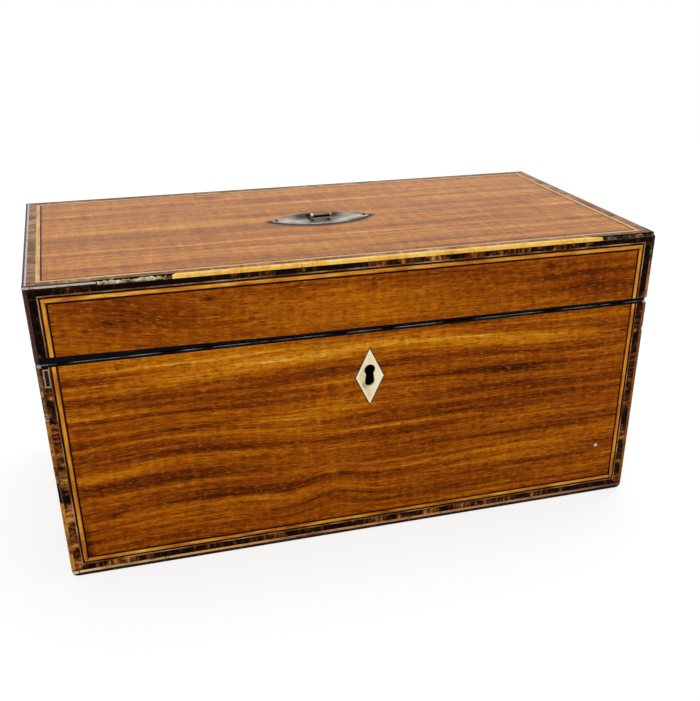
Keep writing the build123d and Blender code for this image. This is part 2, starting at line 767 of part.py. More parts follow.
def nail_spots():
    return [on_lid(sx * nail_spread, 0, plate_proud) for sx in (-1, 1)]


def nail_hole():
    return Cylinder(nail_shank + pilot_fit, 2 * (nail_length + nail_tip_gap))


def nail():
    """Round-headed brass nail standing on the plate's tip."""
    shank = Pos(0, 0, -nail_length / 2) * Cylinder(nail_shank, nail_length)
    ball = (nail_head ** 2 + nail_rise ** 2) / (2 * nail_rise)
    head = Pos(0, 0, nail_rise - ball) * Sphere(ball) & Pos(0, 0, ball) * Box(2 * ball, 2 * ball, 2 * ball)
    return shank + head


# ---- Inside --------------------------------------------------------------------------------
def wall_linings(z0, z1):
    """Baize on the inner faces of the four walls."""
    y, x = inner_y - lining, inner_x - lining
    return [block(-inner_x, inner_x, -inner_y, -y, z0, z1), block(-inner_x, inner_x, y, inner_y, z0, z1),
            block(-inner_x, -x, -y, y, z0, z1), block(x, inner_x, -y, y, z0, z1)]


def body_lining():
    walls = wall_linings(base_board + lining, wall_top)
    return cut_all(walls, [lock_space(lining_gap)])


def rack_board(x, cuts):
    """A notched board across the box, standing on the floor between the linings."""
    y = inner_y - lining
    floor = base_board + lining
    rack = block(x - rack_thick / 2, x + rack_thick / 2, -y, y, floor, floor + rack_height)
    return rack - cuts


def notches(x, width, depth, round_foot):
    """Open-topped notches for the knives, on even centres."""
    top = base_board + lining + rack_height
    cuts = []
    for k in range(knives):
        y = (k - (knives - 1) / 2) * knife_pitch
        low = top - depth + (width / 2 if round_foot else 0)
        cuts.append(block(x - rack_thick, x + rack_thick, y - width / 2, y + width / 2, low, top + 1))
        if round_foot:
            cuts.append(rod((x - rack_thick, y, low), (x + rack_thick, y, low), width / 2))
    return cuts


def main():
    os.makedirs("parts", exist_ok=True)

    body = {face: body_inlay(face) for face in ("front", "back", "left", "right")}
    body["front"]["field"] = [body["front"]["field"][0]
                              - through_front(diamond(inlay_gap), -half_y - 1, -board_y + 1)]
    lid = {face: lid_inlay(face) for face in ("front", "back", "left", "right")}
    lid["front"] = cut_woods(lid["front"], [lip_made_up()])
    lid["top"] = top_inlay()
    lid["top"]["field"] = cut_all(lid["top"]["field"],
                                  [plate_blank(plate_fit), *at(nail_spots(), nail_hole())])

    write("body_front_board", [body_front_board()])
    write("body_back_board", [body_back_board()])
    write("body_left_board", [end_board(-1, base_board, wall_top)])
    write("body_right_board", [end_board(1, base_board, wall_top)])
    write("body_base", [body_base()])
    write("lid_front_board", [lid_front_board()])
    write("lid_back_board", [lid_back_board()])
    write("lid_left_board", [end_board(-1, lid_wood, lid_ceiling)])
    write("lid_right_board", [end_board(1, lid_wood, lid_ceiling)])
    write("lid_top_board", [lid_top()])

    for part, faces in (("body", body), ("lid", lid)):
        for face, pieces in faces.items():
            write(f"{part}_{face}_veneer", pieces["field"])
        for wood, node in (("crossband", "crossbanding"), ("boxwood", "boxwood_lines"),
                           ("ebony", "ebony_lines")):
            write(f"{part}_{node}", [p for pieces in faces.values() for p in pieces[wood]])

    for part, (boxwood, ebony) in (("body", body_edges()), ("lid", lid_edges())):
        write(f"{part}_boxwood_edge", boxwood)
        write(f"{part}_ebony_edge", ebony)

    write("body_lip", cut_all(lip_ring(wall_top, body_height),
                              [selvedge_space(), *leaf_spaces(wall_top - 1, body_height + 1)]))
    left, right, front, back = lip_ring(lid_low, lid_low)
    write("lid_lip", cut_all([left, right, front + lip_made_up(), back],
                             [link_space(), *leaf_spaces(lid_low - 1, lid_wood + 1)]))

    write("escutcheon", [escutcheon()])
    write("lock_case", [lock_case()])
    write("lock_cap", [lock_cap()])
    write("lock_pin", [lock_pin()])
    write("lock_bolt", [lock_bolt()])
    write("lock_screws", at(LOCK_SCREWS, screw(lock_screw_length)))
    write("link_plate", [link_plate()])
    write("link_screws", at(LINK_SCREWS, screw()))

    write("body_hinge_leaves", hinge_leaves(-1, BODY_HINGE_SCREWS))
    write("lid_hinge_leaves", hinge_leaves(1, LID_HINGE_SCREWS))
    write("hinge_pins", hinge_pins())
    write("body_hinge_screws", at(BODY_HINGE_SCREWS, screw()))
    write("lid_hinge_screws", at(LID_HINGE_SCREWS, screw()))

    write("handle_plate", [handle_plate()])
    write("handle_bail", [bail()])
    write("handle_pivot", [bail_pin_rod()])
    write("handle_nails", at(nail_spots(), nail()))

    write("body_floor_lining", [block(-inner_x, inner_x, -inner_y, inner_y,
                                      base_board, base_board + lining)])
    write("body_wall_lining", body_lining())
    write("lid_wall_lining", wall_linings(lid_wood, lid_ceiling - lining))
    write("lid_ceiling_lining", [block(-inner_x, inner_x, -inner_y, inner_y,
                                       lid_ceiling - lining, lid_ceiling)])
    slots = notches(blade_rack_x, blade_slot, blade_slot_depth, round_foot=False)
    write("blade_rack", [rack_board(blade_rack_x, slots)])
    rests = notches(handle_rack_x, handle_notch, handle_notch_depth, round_foot=True)
    write("handle_rack", [rack_board(handle_rack_x, rests)])


main()
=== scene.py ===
import math

import bmesh
import bpy
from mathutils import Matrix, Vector, noise


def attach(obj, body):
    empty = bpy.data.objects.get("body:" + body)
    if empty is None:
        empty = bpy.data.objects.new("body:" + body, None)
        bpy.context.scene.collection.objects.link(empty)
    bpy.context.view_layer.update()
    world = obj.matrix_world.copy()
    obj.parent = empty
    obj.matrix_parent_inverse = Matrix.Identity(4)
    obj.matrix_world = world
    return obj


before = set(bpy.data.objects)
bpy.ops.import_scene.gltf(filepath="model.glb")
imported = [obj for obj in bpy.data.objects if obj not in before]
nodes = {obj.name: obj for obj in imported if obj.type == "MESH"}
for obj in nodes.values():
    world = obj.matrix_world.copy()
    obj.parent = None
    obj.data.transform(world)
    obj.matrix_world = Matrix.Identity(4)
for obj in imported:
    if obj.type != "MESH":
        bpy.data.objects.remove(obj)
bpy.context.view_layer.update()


# ---- Stage ---------------------------------------------------------------------------------
# The box stands on a plain pale floor under one broad soft lamp overhead and a weaker one in
# front. The floor and the world beyond it are white to look at and keep a soft shadow.
def put(tree, kind, values=None, **settings):
    """Add a node; each value is a number, a colour or the socket that feeds it."""
    new = tree.nodes.new("ShaderNode" + kind)
    for name, value in settings.items():
        setattr(new, name, value)
    for socket, value in (values or {}).items():
        if isinstance(value, bpy.types.NodeSocket):
            tree.links.new(value, new.inputs[socket])
        else:
            new.inputs[socket].default_value = value
    return new


def sums(tree, operation, first, second=0.0, clamp=False):
    """One sum on two numbers or sockets."""
    return put(tree, "Math", {0: first, 1: second}, operation=operation, use_clamp=clamp).outputs[0]


def vectors(tree, operation, first, second=(0, 0, 0)):
    """One sum on two vectors; a length or a distance comes out as a number."""
    made = put(tree, "VectorMath", {0: first, 1: second}, operation=operation).outputs
    return made["Value" if operation in ("LENGTH", "DISTANCE") else "Vector"]


def between(tree, value, low=0.0, high=1.0, start=0.0, end=1.0):
    """From start to end while the value goes from low to high, and level beyond them."""
    return put(tree, "MapRange", {0: value, 1: low, 2: high, 3: start, 4: end}).outputs[0]


def where_on(tree):
    """Object coordinates: the place on the piece, in metres."""
    return put(tree, "TexCoord").outputs["Object"]


def piece_of(name, shape):
    """The finished bmesh as an object of the scene."""
    piece = bpy.data.objects.new(name, bpy.data.meshes.new(name))
    shape.to_mesh(piece.data)
    shape.free()
    bpy.context.scene.collection.objects.link(piece)
    return piece


def seen_straight(tree):
    """1 where the eye, a mirror or a glass looks, 0 for light that bounces about."""
    path = put(tree, "LightPath")
    seen = sums(tree, "MAXIMUM", path.outputs["Is Camera Ray"], path.outputs["Is Glossy Ray"])
    return sums(tree, "MAXIMUM", seen, path.outputs["Is Transmission Ray"])


floor_reach, just_under_foot = 14.0, -0.0002
floor_mesh = bmesh.new()
bmesh.ops.create_grid(floor_mesh, x_segments=1, y_segments=1, size=floor_reach)
bmesh.ops.translate(floor_mesh, verts=floor_mesh.verts, vec=(0, 0, just_under_foot))
floor = piece_of("floor", floor_mesh)

floor_paint = bpy.data.materials.new("floor_paint")
floor_paint.use_nodes = True
tree = floor_paint.node_tree
tree.nodes.clear()
plain = put(tree, "BsdfDiffuse", {"Color": (0.72, 0.72, 0.72, 1)})
dim = put(tree, "BsdfDiffuse", {"Color": (0.30, 0.30, 0.30, 1)})
glow = put(tree, "Emission", {"Color": (1, 1, 1, 1), "Strength": 0.76})
near_white = put(tree, "AddShader", {0: dim.outputs[0], 1: glow.outputs[0]})
far_white = put(tree, "Emission", {"Color": (1, 1, 1, 1), "Strength": 1.0})
far = between(tree, vectors(tree, "LENGTH", where_on(tree)), 0.4, 1.6)
white = put(tree, "MixShader", {0: far, 1: near_white.outputs[0], 2: far_white.outputs[0]})
either = put(tree, "MixShader", {0: seen_straight(tree), 1: plain.outputs[0], 2: white.outputs[0]})
put(tree, "OutputMaterial", {"Surface": either.outputs[0]})
floor.data.materials.append(floor_paint)

world = bpy.data.worlds.new("room")
world.use_nodes = True
bpy.context.scene.world = world
tree = world.node_tree
tree.nodes.clear()
dull = put(tree, "Background", {"Color": (1.0, 1.0, 1.0, 1), "Strength": 0.50})
bright = put(tree, "Background", {"Color": (1, 1, 1, 1), "Strength": 1.0})
either = put(tree, "MixShader", {0: seen_straight(tree), 1: dull.outputs[0], 2: bright.outputs[0]})
put(tree, "OutputWorld", {"Surface": either.outputs[0]})

lit_point = Vector((0, 0, 0.07))
for name, place, size, power in (("lamp_over", (0.35, 0.55, 1.75), 1.5, 17.0),
                                 ("lamp_front", (-0.9, -1.7, 1.0), 1.3, 14.0)):
    lamp = bpy.data.lights.new(name, "AREA")
    lamp.size, lamp.energy = size, power
    holder = bpy.data.objects.new(name, lamp)
    holder.location = place
    holder.rotation_euler = (lit_point - Vector(place)).to_track_quat("-Z", "Y").to_euler()
    bpy.context.scene.collection.objects.link(holder)

tilt_down, turn_right = 28.05, 17.06
camera = bpy.data.objects.new("camera", bpy.data.cameras.new("camera"))
camera.location = (-0.1229, -0.4819, 0.2681)
camera.rotation_euler = (math.radians(90 - tilt_down), 0, math.radians(-turn_right))
camera.data.sensor_width = 36.0
camera.data.lens = 48.51
camera.data.shift_x, camera.data.shift_y = -0.0278, 0.1508
camera.data.clip_start, camera.data.clip_end = 0.01, 60.0
bpy.context.scene.collection.objects.link(camera)
bpy.context.scene.camera = camera
bpy.context.scene.view_settings.view_transform = "Standard"


# ---- Carcase -------------------------------------------------------------------------------
# The walls, base and lid board are plain straight-grained mahogany, planed and butted together.
# They are veneered outside and lined inside, and show mainly on the underside and where the
# stringing is lost.
def group(name, inputs, outputs):
    """A new effect with its named sockets, and the ends to wire it to."""
    tree = bpy.data.node_groups.new(name, "ShaderNodeTree")
    for label, kind, value in inputs:
        socket = tree.interface.new_socket(label, in_out="INPUT", socket_type="NodeSocket" + kind)
        if value is not None:
            socket.default_value = value
    for label, kind in outputs:
        tree.interface.new_socket(label, in_out="OUTPUT", socket_type="NodeSocket" + kind)
    return tree, tree.nodes.new("NodeGroupInput").outputs, tree.nodes.new("NodeGroupOutput").inputs


def stretched(tree, vector, scale, detail=3.0, rough=0.55, seed=0.0):
    """Noise on a vector that is scaled by three numbers, as a value round 0.5."""
    scaled = vectors(tree, "MULTIPLY", vector, scale)
    moved = vectors(tree, "ADD", scaled, (seed, 2 * seed, 3 * seed))
    return put(tree, "TexNoise", {"Vector": moved, "Scale": 1.0, "Detail": detail,
                                  "Roughness": rough}).outputs[0]


def plus(tree, first, second, clamp=False):
    """One number added to another."""
    return sums(tree, "ADD", first, second, clamp)


def minus(tree, first, second):
    """The second number taken from the first."""
    return sums(tree, "SUBTRACT", first, second)


def times(tree, first, second, clamp=False):
    """One number times another."""
    return sums(tree, "MULTIPLY", first, second, clamp)


# Grain: X runs along it, Y across it and Z into the wood, in metres. Pores are short dark
# dashes and lights pale ones; mottle and ripple are the play of light across the grain.
LAYERS = {"Bands": ((5, 140, 30), 2.0, 0.55), "Streaks": ((11, 430, 90), 3.0, 0.6),
          "Threads": ((50, 1300, 300), 3.0, 0.6), "Fibre": ((170, 2600, 700), 2.0, 0.65),
          "Mottle": ((330, 480, 300), 3.0, 0.62), "Ripple": ((300, 42, 200), 3.0, 0.6)}
tree, given, made = group("grain", [("Vector", "Vector", None), ("Wave", "Float", 0.004)],
                          [(layer, "Float") for layer in (*LAYERS, "Pores", "Lights")])
wander = minus(tree, stretched(tree, given["Vector"], (9, 22, 22), 1.5), 0.5)
shift = put(tree, "CombineXYZ", {"Y": times(tree, wander, given["Wave"])})
bent = vectors(tree, "ADD", given["Vector"], shift.outputs[0])
for seed, (layer, (scale, detail, rough)) in enumerate(LAYERS.items(), 1):
    tree.links.new(stretched(tree, bent, scale, detail, rough, 2.3 * seed), made[layer])
for layer, seed, scale, low, high in (("Pores", 5.9, (230, 1250, 600), 0.58, 0.70),
                                      ("Lights", 9.4, (260, 1500, 600), 0.60, 0.72)):
    dashes = stretched(tree, bent, scale, 1.0, 0.5, seed)
    tree.links.new(between(tree, dashes, low, high), made[layer])
grain = tree


def parts_of(tree, vector):
    """A vector's three numbers, each on its own."""
    return put(tree, "SeparateXYZ", {0: vector}).outputs


def of_its_own(tree, vector, seed):
    """The vector moved by the seed, so that each board shows a figure of its own."""
    return vectors(tree, "ADD", vector, (seed, seed * 1.7, seed * 0.6))


# The axes that run along the grain, across it and into the wood, on each kind of face.
long_side, end_side, level_side = (0, 2, 1), (1, 2, 0), (0, 1, 2)


def along(tree, order, seed=0.0):
    """Object coordinates turned so that X runs with the grain; order names the axes."""
    parts = parts_of(tree, where_on(tree))
    turned = put(tree, "CombineXYZ", {k: parts[axis] for k, axis in enumerate(order)}).outputs[0]
    return of_its_own(tree, turned, seed)


def shade(red, green, blue):
    """A colour as it looks, 0 to 255, for a shader's socket."""
    def even(part):
        part /= 255
        return part / 12.92 if part <= 0.04045 else ((part + 0.055) / 1.055) ** 2.4
    return (even(red), even(green), even(blue), 1.0)


def ramp(tree, value, stops):
    """Colours along a value, each given with its place."""
    new = put(tree, "ValToRGB", {0: value})
    points = new.color_ramp.elements
    while len(points) < len(stops):
        points.new(0.5)
    for point, (place, colour) in zip(points, stops):
        point.position, point.color = place, colour
    return new.outputs[0]


def blend(tree, amount, first, second):
    """Two colours mixed: the first at an amount of 0, the second at 1."""
    return put(tree, "Mix", {0: amount, 6: first, 7: second}, data_type="RGBA").outputs[2]


def finish_of(name, **constants):
    """A material with its Principled shader, the constants set on the shader's own sockets."""
    new = bpy.data.materials.new(name)
    new.use_nodes = True
    shader = new.node_tree.nodes["Principled BSDF"]
    for socket, value in constants.items():
        shader.inputs[socket.replace("_", " ")].default_value = value
    return new, new.node_tree, shader


def wire(tree, shader, colour, rough, height=None, depth=0.0001):
    """Feed the shader its colour, its roughness and its relief."""
    tree.links.new(colour, shader.inputs["Base Color"])
    tree.links.new(rough, shader.inputs["Roughness"])
    if height is not None:
        relief = put(tree, "Bump", {"Height": height, "Distance": depth, "Strength": 0.6})
        tree.links.new(relief.outputs[0], shader.inputs["Normal"])


def dress(material, *names):
    """Give CAD nodes their material."""
    for name in names:
        nodes[name].data.materials.clear()
        nodes[name].data.materials.append(material)


def mahogany(name, order, seed):
    """Plain mahogany for the carcase, its grain along the first axis of the order."""
    wood, tree, shader = finish_of(name, Specular_IOR_Level=0.3)
    figure = put(tree, "Group", {"Vector": along(tree, order, seed)}, node_tree=grain).outputs
    tone = plus(tree, times(tree, figure["Bands"], 0.6), times(tree, figure["Streaks"], 0.4))
    colour = ramp(tree, tone, [(0.3, shade(84, 44, 26)), (0.5, shade(118, 66, 40)),
                               (0.7, shade(146, 90, 58))])
    colour = blend(tree, times(tree, figure["Pores"], 0.5), colour, shade(50, 24, 14))
    rough = between(tree, figure["Fibre"], start=0.5, end=0.75)
    wire(tree, shader, colour, rough, figure["Fibre"], 0.0002)
    return wood


dress(mahogany("mahogany_long", long_side, 0.3), "body_front_board", "body_back_board",
      "lid_front_board", "lid_back_board")
dress(mahogany("mahogany_end", end_side, 0.9), "body_left_board", "body_right_board",
      "lid_left_board", "lid_right_board")
dress(mahogany("mahogany_level", level_side, 1.4), "body_base", "lid_top_board")


# ---- Field veneers -------------------------------------------------------------------------
# Sheets of a golden, streaky wood, 1 mm thick, glued down with the grain running level round
# the box. The lid's top has faded, and a painted sheen lightens it further to a pinkish tan;
# the front keeps its colour.
tree, given, made = group("soft_spot", [("Vector", "Vector", None), ("Centre", "Vector", None),
                                        ("Size", "Vector", (0.05, 0.005, 1.0))], [("Spot", "Float")])
away = vectors(tree, "SUBTRACT", given["Vector"], given["Centre"])
flat = vectors(tree, "MULTIPLY", away, (1, 1, 0))
reach = vectors(tree, "DIVIDE", flat, given["Size"])
spot = put(tree, "MapRange", {0: vectors(tree, "LENGTH", reach), 1: 0.0, 2: 1.0, 3: 1.0, 4: 0.0},
           interpolation_type="SMOOTHSTEP")
tree.links.new(spot.outputs[0], made["Spot"])
soft_spot = tree


def spot_on(tree, vector, centre, size):
    """1 at a soft spot's centre, down to 0 at its half size; both are given along X and Y."""
    values = {"Vector": vector, "Centre": (*centre, 0), "Size": (*size, 1)}
    return put(tree, "Group", values, node_tree=soft_spot).outputs[0]


def below(tree, value, limit):
    """1 where the value is less than the limit."""
    return sums(tree, "LESS_THAN", value, limit)


tree, given, made = group("pits", [("Vector", "Vector", None), ("Share", "Float", 0.1)],
                          [("Pits", "Float")])
cells = vectors(tree, "MULTIPLY", given["Vector"], (170, 300, 0))
ragged = put(tree, "TexNoise", {"Vector": cells, "Scale": 3.0, "Detail": 2.0}).outputs["Color"]
loose = vectors(tree, "MULTIPLY", ragged, (0.35, 0.35, 0))
cells = vectors(tree, "ADD", cells, loose)
near = put(tree, "TexVoronoi", {"Vector": cells, "Scale": 1.0})
pick = parts_of(tree, near.outputs["Color"])
chosen = below(tree, pick[0], given["Share"])
width = times(tree, pick[1], 0.20)
inside = between(tree, near.outputs["Distance"], width, 0.0)
tree.links.new(times(tree, inside, chosen, clamp=True), made["Pits"])
pits = tree
middle_tone = 0.51


def veneer(name, order, seed, colours, marks=(), holes=(), lift=(), wave=0.006, dirt_and_shade=None, pitted=0.07,
           contrast=(0.95, 0.90, 0.50, 0.30, 0.44, 0.26), specular=0.03, rough=(0.34, 0.5)):
    """Polished veneer. Each mark is a soft streak: centre, half size and how far it lightens."""
    wood, tree, shader = finish_of(name, Specular_IOR_Level=specular)
    place = along(tree, order)
    drawn = place
    for centre, size, height in lift:
        rise = times(tree, spot_on(tree, place, centre, size), -height)
        drawn = vectors(tree, "ADD", drawn, put(tree, "CombineXYZ", {"Y": rise}).outputs[0])
    moved = of_its_own(tree, drawn, seed)
    figure = put(tree, "Group", {"Vector": moved, "Wave": wave}, node_tree=grain).outputs
    tone = middle_tone
    for layer, share in zip(LAYERS, contrast):
        swing = times(tree, minus(tree, figure[layer], 0.5), share)
        tone = plus(tree, swing, tone)
    for centre, size, change in marks:
        tone = plus(tree, tone, times(tree, spot_on(tree, drawn, centre, size), change))
    colour = ramp(tree, tone, colours)
    colour = blend(tree, times(tree, figure["Lights"], 0.35), colour, colours[-2][1])
    colour = blend(tree, times(tree, figure["Pores"], 0.55), colour, colours[0][1])
    sunk = put(tree, "Group", {"Vector": moved, "Share": pitted}, node_tree=pits).outputs[0]
    for centre, size in holes:
        sunk = plus(tree, sunk, spot_on(tree, place, centre, size), clamp=True)
    colour = blend(tree, times(tree, sunk, 0.9), colour, shade(26, 9, 3))
    # The caller's extra marks: real specks and stains on the front, and painted shade with grime round the
    # handle's plate on the top.
    if dirt_and_shade:
        colour = dirt_and_shade(tree, place, colour)
    gloss = between(tree, figure["Streaks"], 0.3, 0.7, *rough)
    relief = minus(tree, times(tree, figure["Threads"], 0.25), sunk)
    wire(tree, shader, colour, gloss, relief, 0.00012)
    return wood


golden = [(0.00, shade(44, 14, 1)), (0.25, shade(92, 36, 2)), (0.45, shade(138, 62, 3)),
          (0.60, shade(166, 86, 4)), (0.75, shade(194, 114, 8)), (0.90, shade(216, 142, 30)),
          (1.00, shade(236, 176, 80))]
# The top's colours: faded wood, lightened further by a painted sheen.
faded_and_sheen_lit = [(0.00, shade(84, 40, 12)), (0.25, shade(130, 72, 24)), (0.45, shade(166, 99, 34)),
         (0.60, shade(186, 117, 44)), (0.75, shade(202, 137, 60)), (1.00, shade(230, 176, 100))]


def unsigned(tree, value):
    """How large the value is, whichever its sign."""
    return sums(tree, "ABSOLUTE", value)


key_x, diamond_z = 0.0012, 0.0867
diamond_half_width, diamond_half_height = 0.0070, 0.01425


def out_from_diamond(tree, across, up):
    """1 on the escutcheon's outline, less inside it and more outside it."""
    across = times(tree, unsigned(tree, minus(tree, across, key_x)), 1 / diamond_half_width)
    up = times(tree, unsigned(tree, minus(tree, up, diamond_z)), 1 / diamond_half_height)
    return plus(tree, across, up)


def speck_and_scratch(tree, place, colour):
    """A white speck low on the right, a scratch at the left, and old polish round the escutcheon."""
    gathered = between(tree, out_from_diamond(tree, *parts_of(tree, place)[:2]), 1.03, 1.13, 0.85, 0.0)
    colour = blend(tree, gathered, colour, shade(52, 20, 4))
    for centre, size, amount, tint in (
            ((0.1308, 0.0298), (0.0011, 0.0011), 3.0, shade(236, 222, 208)),
            ((-0.1097, 0.0690), (0.0003, 0.0080), 0.8, shade(70, 30, 6))):
        mark = times(tree, spot_on(tree, place, centre, size), amount, clamp=True)
        colour = blend(tree, mark, colour, tint)
    return colour


# The front's figure: broad light and dark streaks, a swirl near the middle, and worm pits.
front_marks = [((-0.078, 0.102), (0.090, 0.010), 0.26), ((0.020, 0.102), (0.100, 0.008), 0.24),
               ((0.090, 0.0990), (0.080, 0.006), 0.20), ((-0.1405, 0.012), (0.0036, 0.024), -0.30),
               ((0.074, 0.086), (0.095, 0.008), -0.20),
               ((0.076, 0.0832), (0.024, 0.0030), -0.22), ((-0.076, 0.0705), (0.034, 0.0024), -0.26),
               ((-0.050, 0.0725), (0.046, 0.0016), -0.18), ((0.070, 0.0612), (0.080, 0.0024), -0.24),
               ((0.090, 0.0455), (0.064, 0.0016), -0.24), ((0.090, 0.0540), (0.068, 0.0050), 0.14),
               ((0.080, 0.0360), (0.080, 0.0120), 0.14), ((0.094, 0.0263), (0.046, 0.0016), -0.26),
               ((0.040, 0.0250), (0.050, 0.0016), -0.16), ((-0.0185, 0.0345), (0.006, 0.005), 0.20),
               ((-0.129, 0.0295), (0.014, 0.0030), -0.18), ((-0.126, 0.0287), (0.0045, 0.0022), -0.26),
               ((-0.085, 0.0305), (0.030, 0.0014), -0.22), ((-0.055, 0.0375), (0.034, 0.0014), -0.18),
               ((0.060, 0.0700), (0.110, 0.0120), -0.16), ((-0.100, 0.0880), (0.050, 0.0040), -0.12),
               ((-0.100, 0.0440), (0.070, 0.0080), -0.12), ((-0.060, 0.0800), (0.080, 0.0100), -0.22),
               ((-0.090, 0.0560), (0.070, 0.0060), -0.12), ((0.080, 0.0200), (0.100, 0.0160), 0.14),
               ((-0.060, 0.0180), (0.100, 0.0160), 0.10), ((0.100, 0.0750), (0.050, 0.0020), 0.12),
               ((-0.010, 0.0140), (0.030, 0.0030), 0.10), ((0.020, 0.0420), (0.040, 0.0050), -0.10)]
worm_pits = [((x, z), (length, 0.0007)) for x, z, length in (
    (-0.0635, 0.0950, 0.0010), (-0.0630, 0.0895, 0.0018), (-0.0247, 0.0820, 0.0020),
    (-0.0390, 0.0570, 0.0013), (-0.0060, 0.0530, 0.0010), (0.0185, 0.0595, 0.0012),
    (0.0735, 0.0520, 0.0020), (0.0715, 0.0490, 0.0014), (0.0385, 0.0457, 0.0014),
    (-0.0565, 0.0327, 0.0013), (0.0015, 0.0220, 0.0010), (0.0927, 0.0390, 0.0014),
    (-0.1160, 0.1050, 0.0014), (-0.1010, 0.0995, 0.0010), (-0.1190, 0.0907, 0.0012))]
dress(veneer("veneer_front", long_side, 0.11, golden, front_marks, worm_pits,
             lift=[((-0.018, 0.024), (0.026, 0.030), 0.005), ((-0.090, 0.045), (0.070, 0.050), 0.004),
                   ((0.120, 0.090), (0.110, 0.030), -0.003)], dirt_and_shade=speck_and_scratch),
      "body_front_veneer")
dress(veneer("veneer_back", long_side, 2.3, golden), "body_back_veneer")
dress(veneer("veneer_ends", end_side, 3.7, golden), "body_left_veneer", "body_right_veneer")
dress(veneer("veneer_lid_front", long_side, 5.2, golden,
             [((0.122, 0.126), (0.040, 0.020), -0.16), ((0.116, 0.126), (0.004, 0.005), -0.14),
              ((0.020, 0.1352), (0.120, 0.0014), -0.22), ((-0.0735, 0.1335), (0.0050, 0.0022), -0.30),
              ((0.0935, 0.1335), (0.0060, 0.0025), -0.26), ((-0.117, 0.120), (0.0060, 0.0025), -0.24),
              ((-0.014, 0.132), (0.020, 0.0016), 0.18), ((0.000, 0.126), (0.090, 0.012), 0.20),
              ((-0.110, 0.126), (0.050, 0.016), -0.16), ((0.000, 0.1165), (0.090, 0.003), 0.10)],
             lift=[((-0.150, 0.126), (0.080, 0.060), 0.010)],
             contrast=(0.40, 0.42, 0.40, 0.26, 0.42, 0.26)), "lid_front_veneer")
dress(veneer("veneer_lid_back", long_side, 6.1, golden), "lid_back_veneer")
dress(veneer("veneer_lid_ends", end_side, 7.4, golden), "lid_left_veneer", "lid_right_veneer")


lid_top = 0.1456
plate_x, plate_y = -0.0022, -0.0014
arc_middles, arc_radius = (-0.02818, 0.02538), 0.03853


def shade_and_grime_round_plate(tree, place, colour):
    """Painted shade, with some grime, in the angle round the handle's pointed-oval plate, thickest at the
    front.
    """
    reaches = []
    for middle in arc_middles:
        away = vectors(tree, "DISTANCE", place, (plate_x, middle, lid_top))
        reaches.append(minus(tree, away, arc_radius))
    past = sums(tree, "MAXIMUM", *reaches)
    along_y = parts_of(tree, place)[1]
    width = between(tree, along_y, -0.012, 0.004, 0.0050, 0.0008)
    # Painted shade, with some grime: the veneer darkens just outside the plate's outline.
    shade_and_grime = between(tree, past, 0.0, width, 2.0, 0.0)
    return blend(tree, sums(tree, "MINIMUM", shade_and_grime, 0.95), colour, shade(44, 28, 16))


dress(veneer("veneer_top", level_side, 8.3, faded_and_sheen_lit,
             [((-0.052, 0.062), (0.012, 0.008), -0.30), ((-0.037, 0.0135), (0.022, 0.007), -0.14),
              ((-0.070, -0.036), (0.090, 0.0028), -0.20), ((0.060, -0.036), (0.080, 0.0024), -0.12),
              ((0.000, -0.046), (0.200, 0.008), 0.10), ((0.108, 0.002), (0.026, 0.016), -0.14),
              ((0.125, -0.038), (0.010, 0.010), -0.16), ((0.030, 0.036), (0.120, 0.0024), 0.14),
              ((-0.090, 0.020), (0.050, 0.004), -0.10)],
             wave=0.012, dirt_and_shade=shade_and_grime_round_plate, pitted=0.012, contrast=(0.95, 0.80, 0.34, 0.10, 0.50, 0.44),
             specular=0.07, rough=(0.30, 0.42)), "lid_top_veneer")


# ---- Crossbanding --------------------------------------------------------------------------
# Narrow bands of dark wood, cut across the grain and laid end to end inside each arris, so
# the figure is a row of short stripes. They meet in mitres. On the lid's top they have faded,
# and a painted sheen makes them paler and greyer.
half_width, half_depth = 0.150, 0.078


def above(tree, value, limit):
    """1 where the value is more than the limit."""
    return sums(tree, "GREATER_THAN", value, limit)


def either_of(tree, choice, no, yes):
    """One number or the other, where the choice is 0 or 1."""
    return put(tree, "Mix", {0: choice, 2: no, 3: yes}, data_type="FLOAT").outputs[0]


# How far a place is along the band and in from the arris, and whether it is level or on the top.
tree, given, made = group("band_run", [], [("Run", "Float"), ("Across", "Float"), ("Level", "Float"),
                                           ("Top", "Float")])
coordinates = put(tree, "TexCoord").outputs
here = parts_of(tree, coordinates["Object"])
facing = parts_of(tree, coordinates["Normal"])
top = above(tree, unsigned(tree, facing[2]), 0.5)
end = above(tree, unsigned(tree, facing[0]), 0.5)
sideways = either_of(tree, end, here[0], here[1])
half_side = either_of(tree, end, half_width, half_depth)
upward = either_of(tree, top, here[2], here[1])
from_side = minus(tree, half_side, unsigned(tree, sideways))
from_ends = sums(tree, "MINIMUM", here[2], minus(tree, lid_top, here[2]))
from_back = minus(tree, half_depth, unsigned(tree, here[1]))
from_level = either_of(tree, top, from_ends, from_back)
level = below(tree, from_level, from_side)
tree.links.new(either_of(tree, level, upward, sideways), made["Run"])
tree.links.new(sums(tree, "MINIMUM", from_level, from_side), made["Across"])
tree.links.new(level, made["Level"])
tree.links.new(top, made["Top"])
band_run = tree


def on_band(tree):
    """What the group band_run gives, and its run and depth as a place on a flat strip."""
    run = put(tree, "Group", node_tree=band_run).outputs
    return run, put(tree, "CombineXYZ", {0: run["Run"], 1: run["Across"]}).outputs[0]


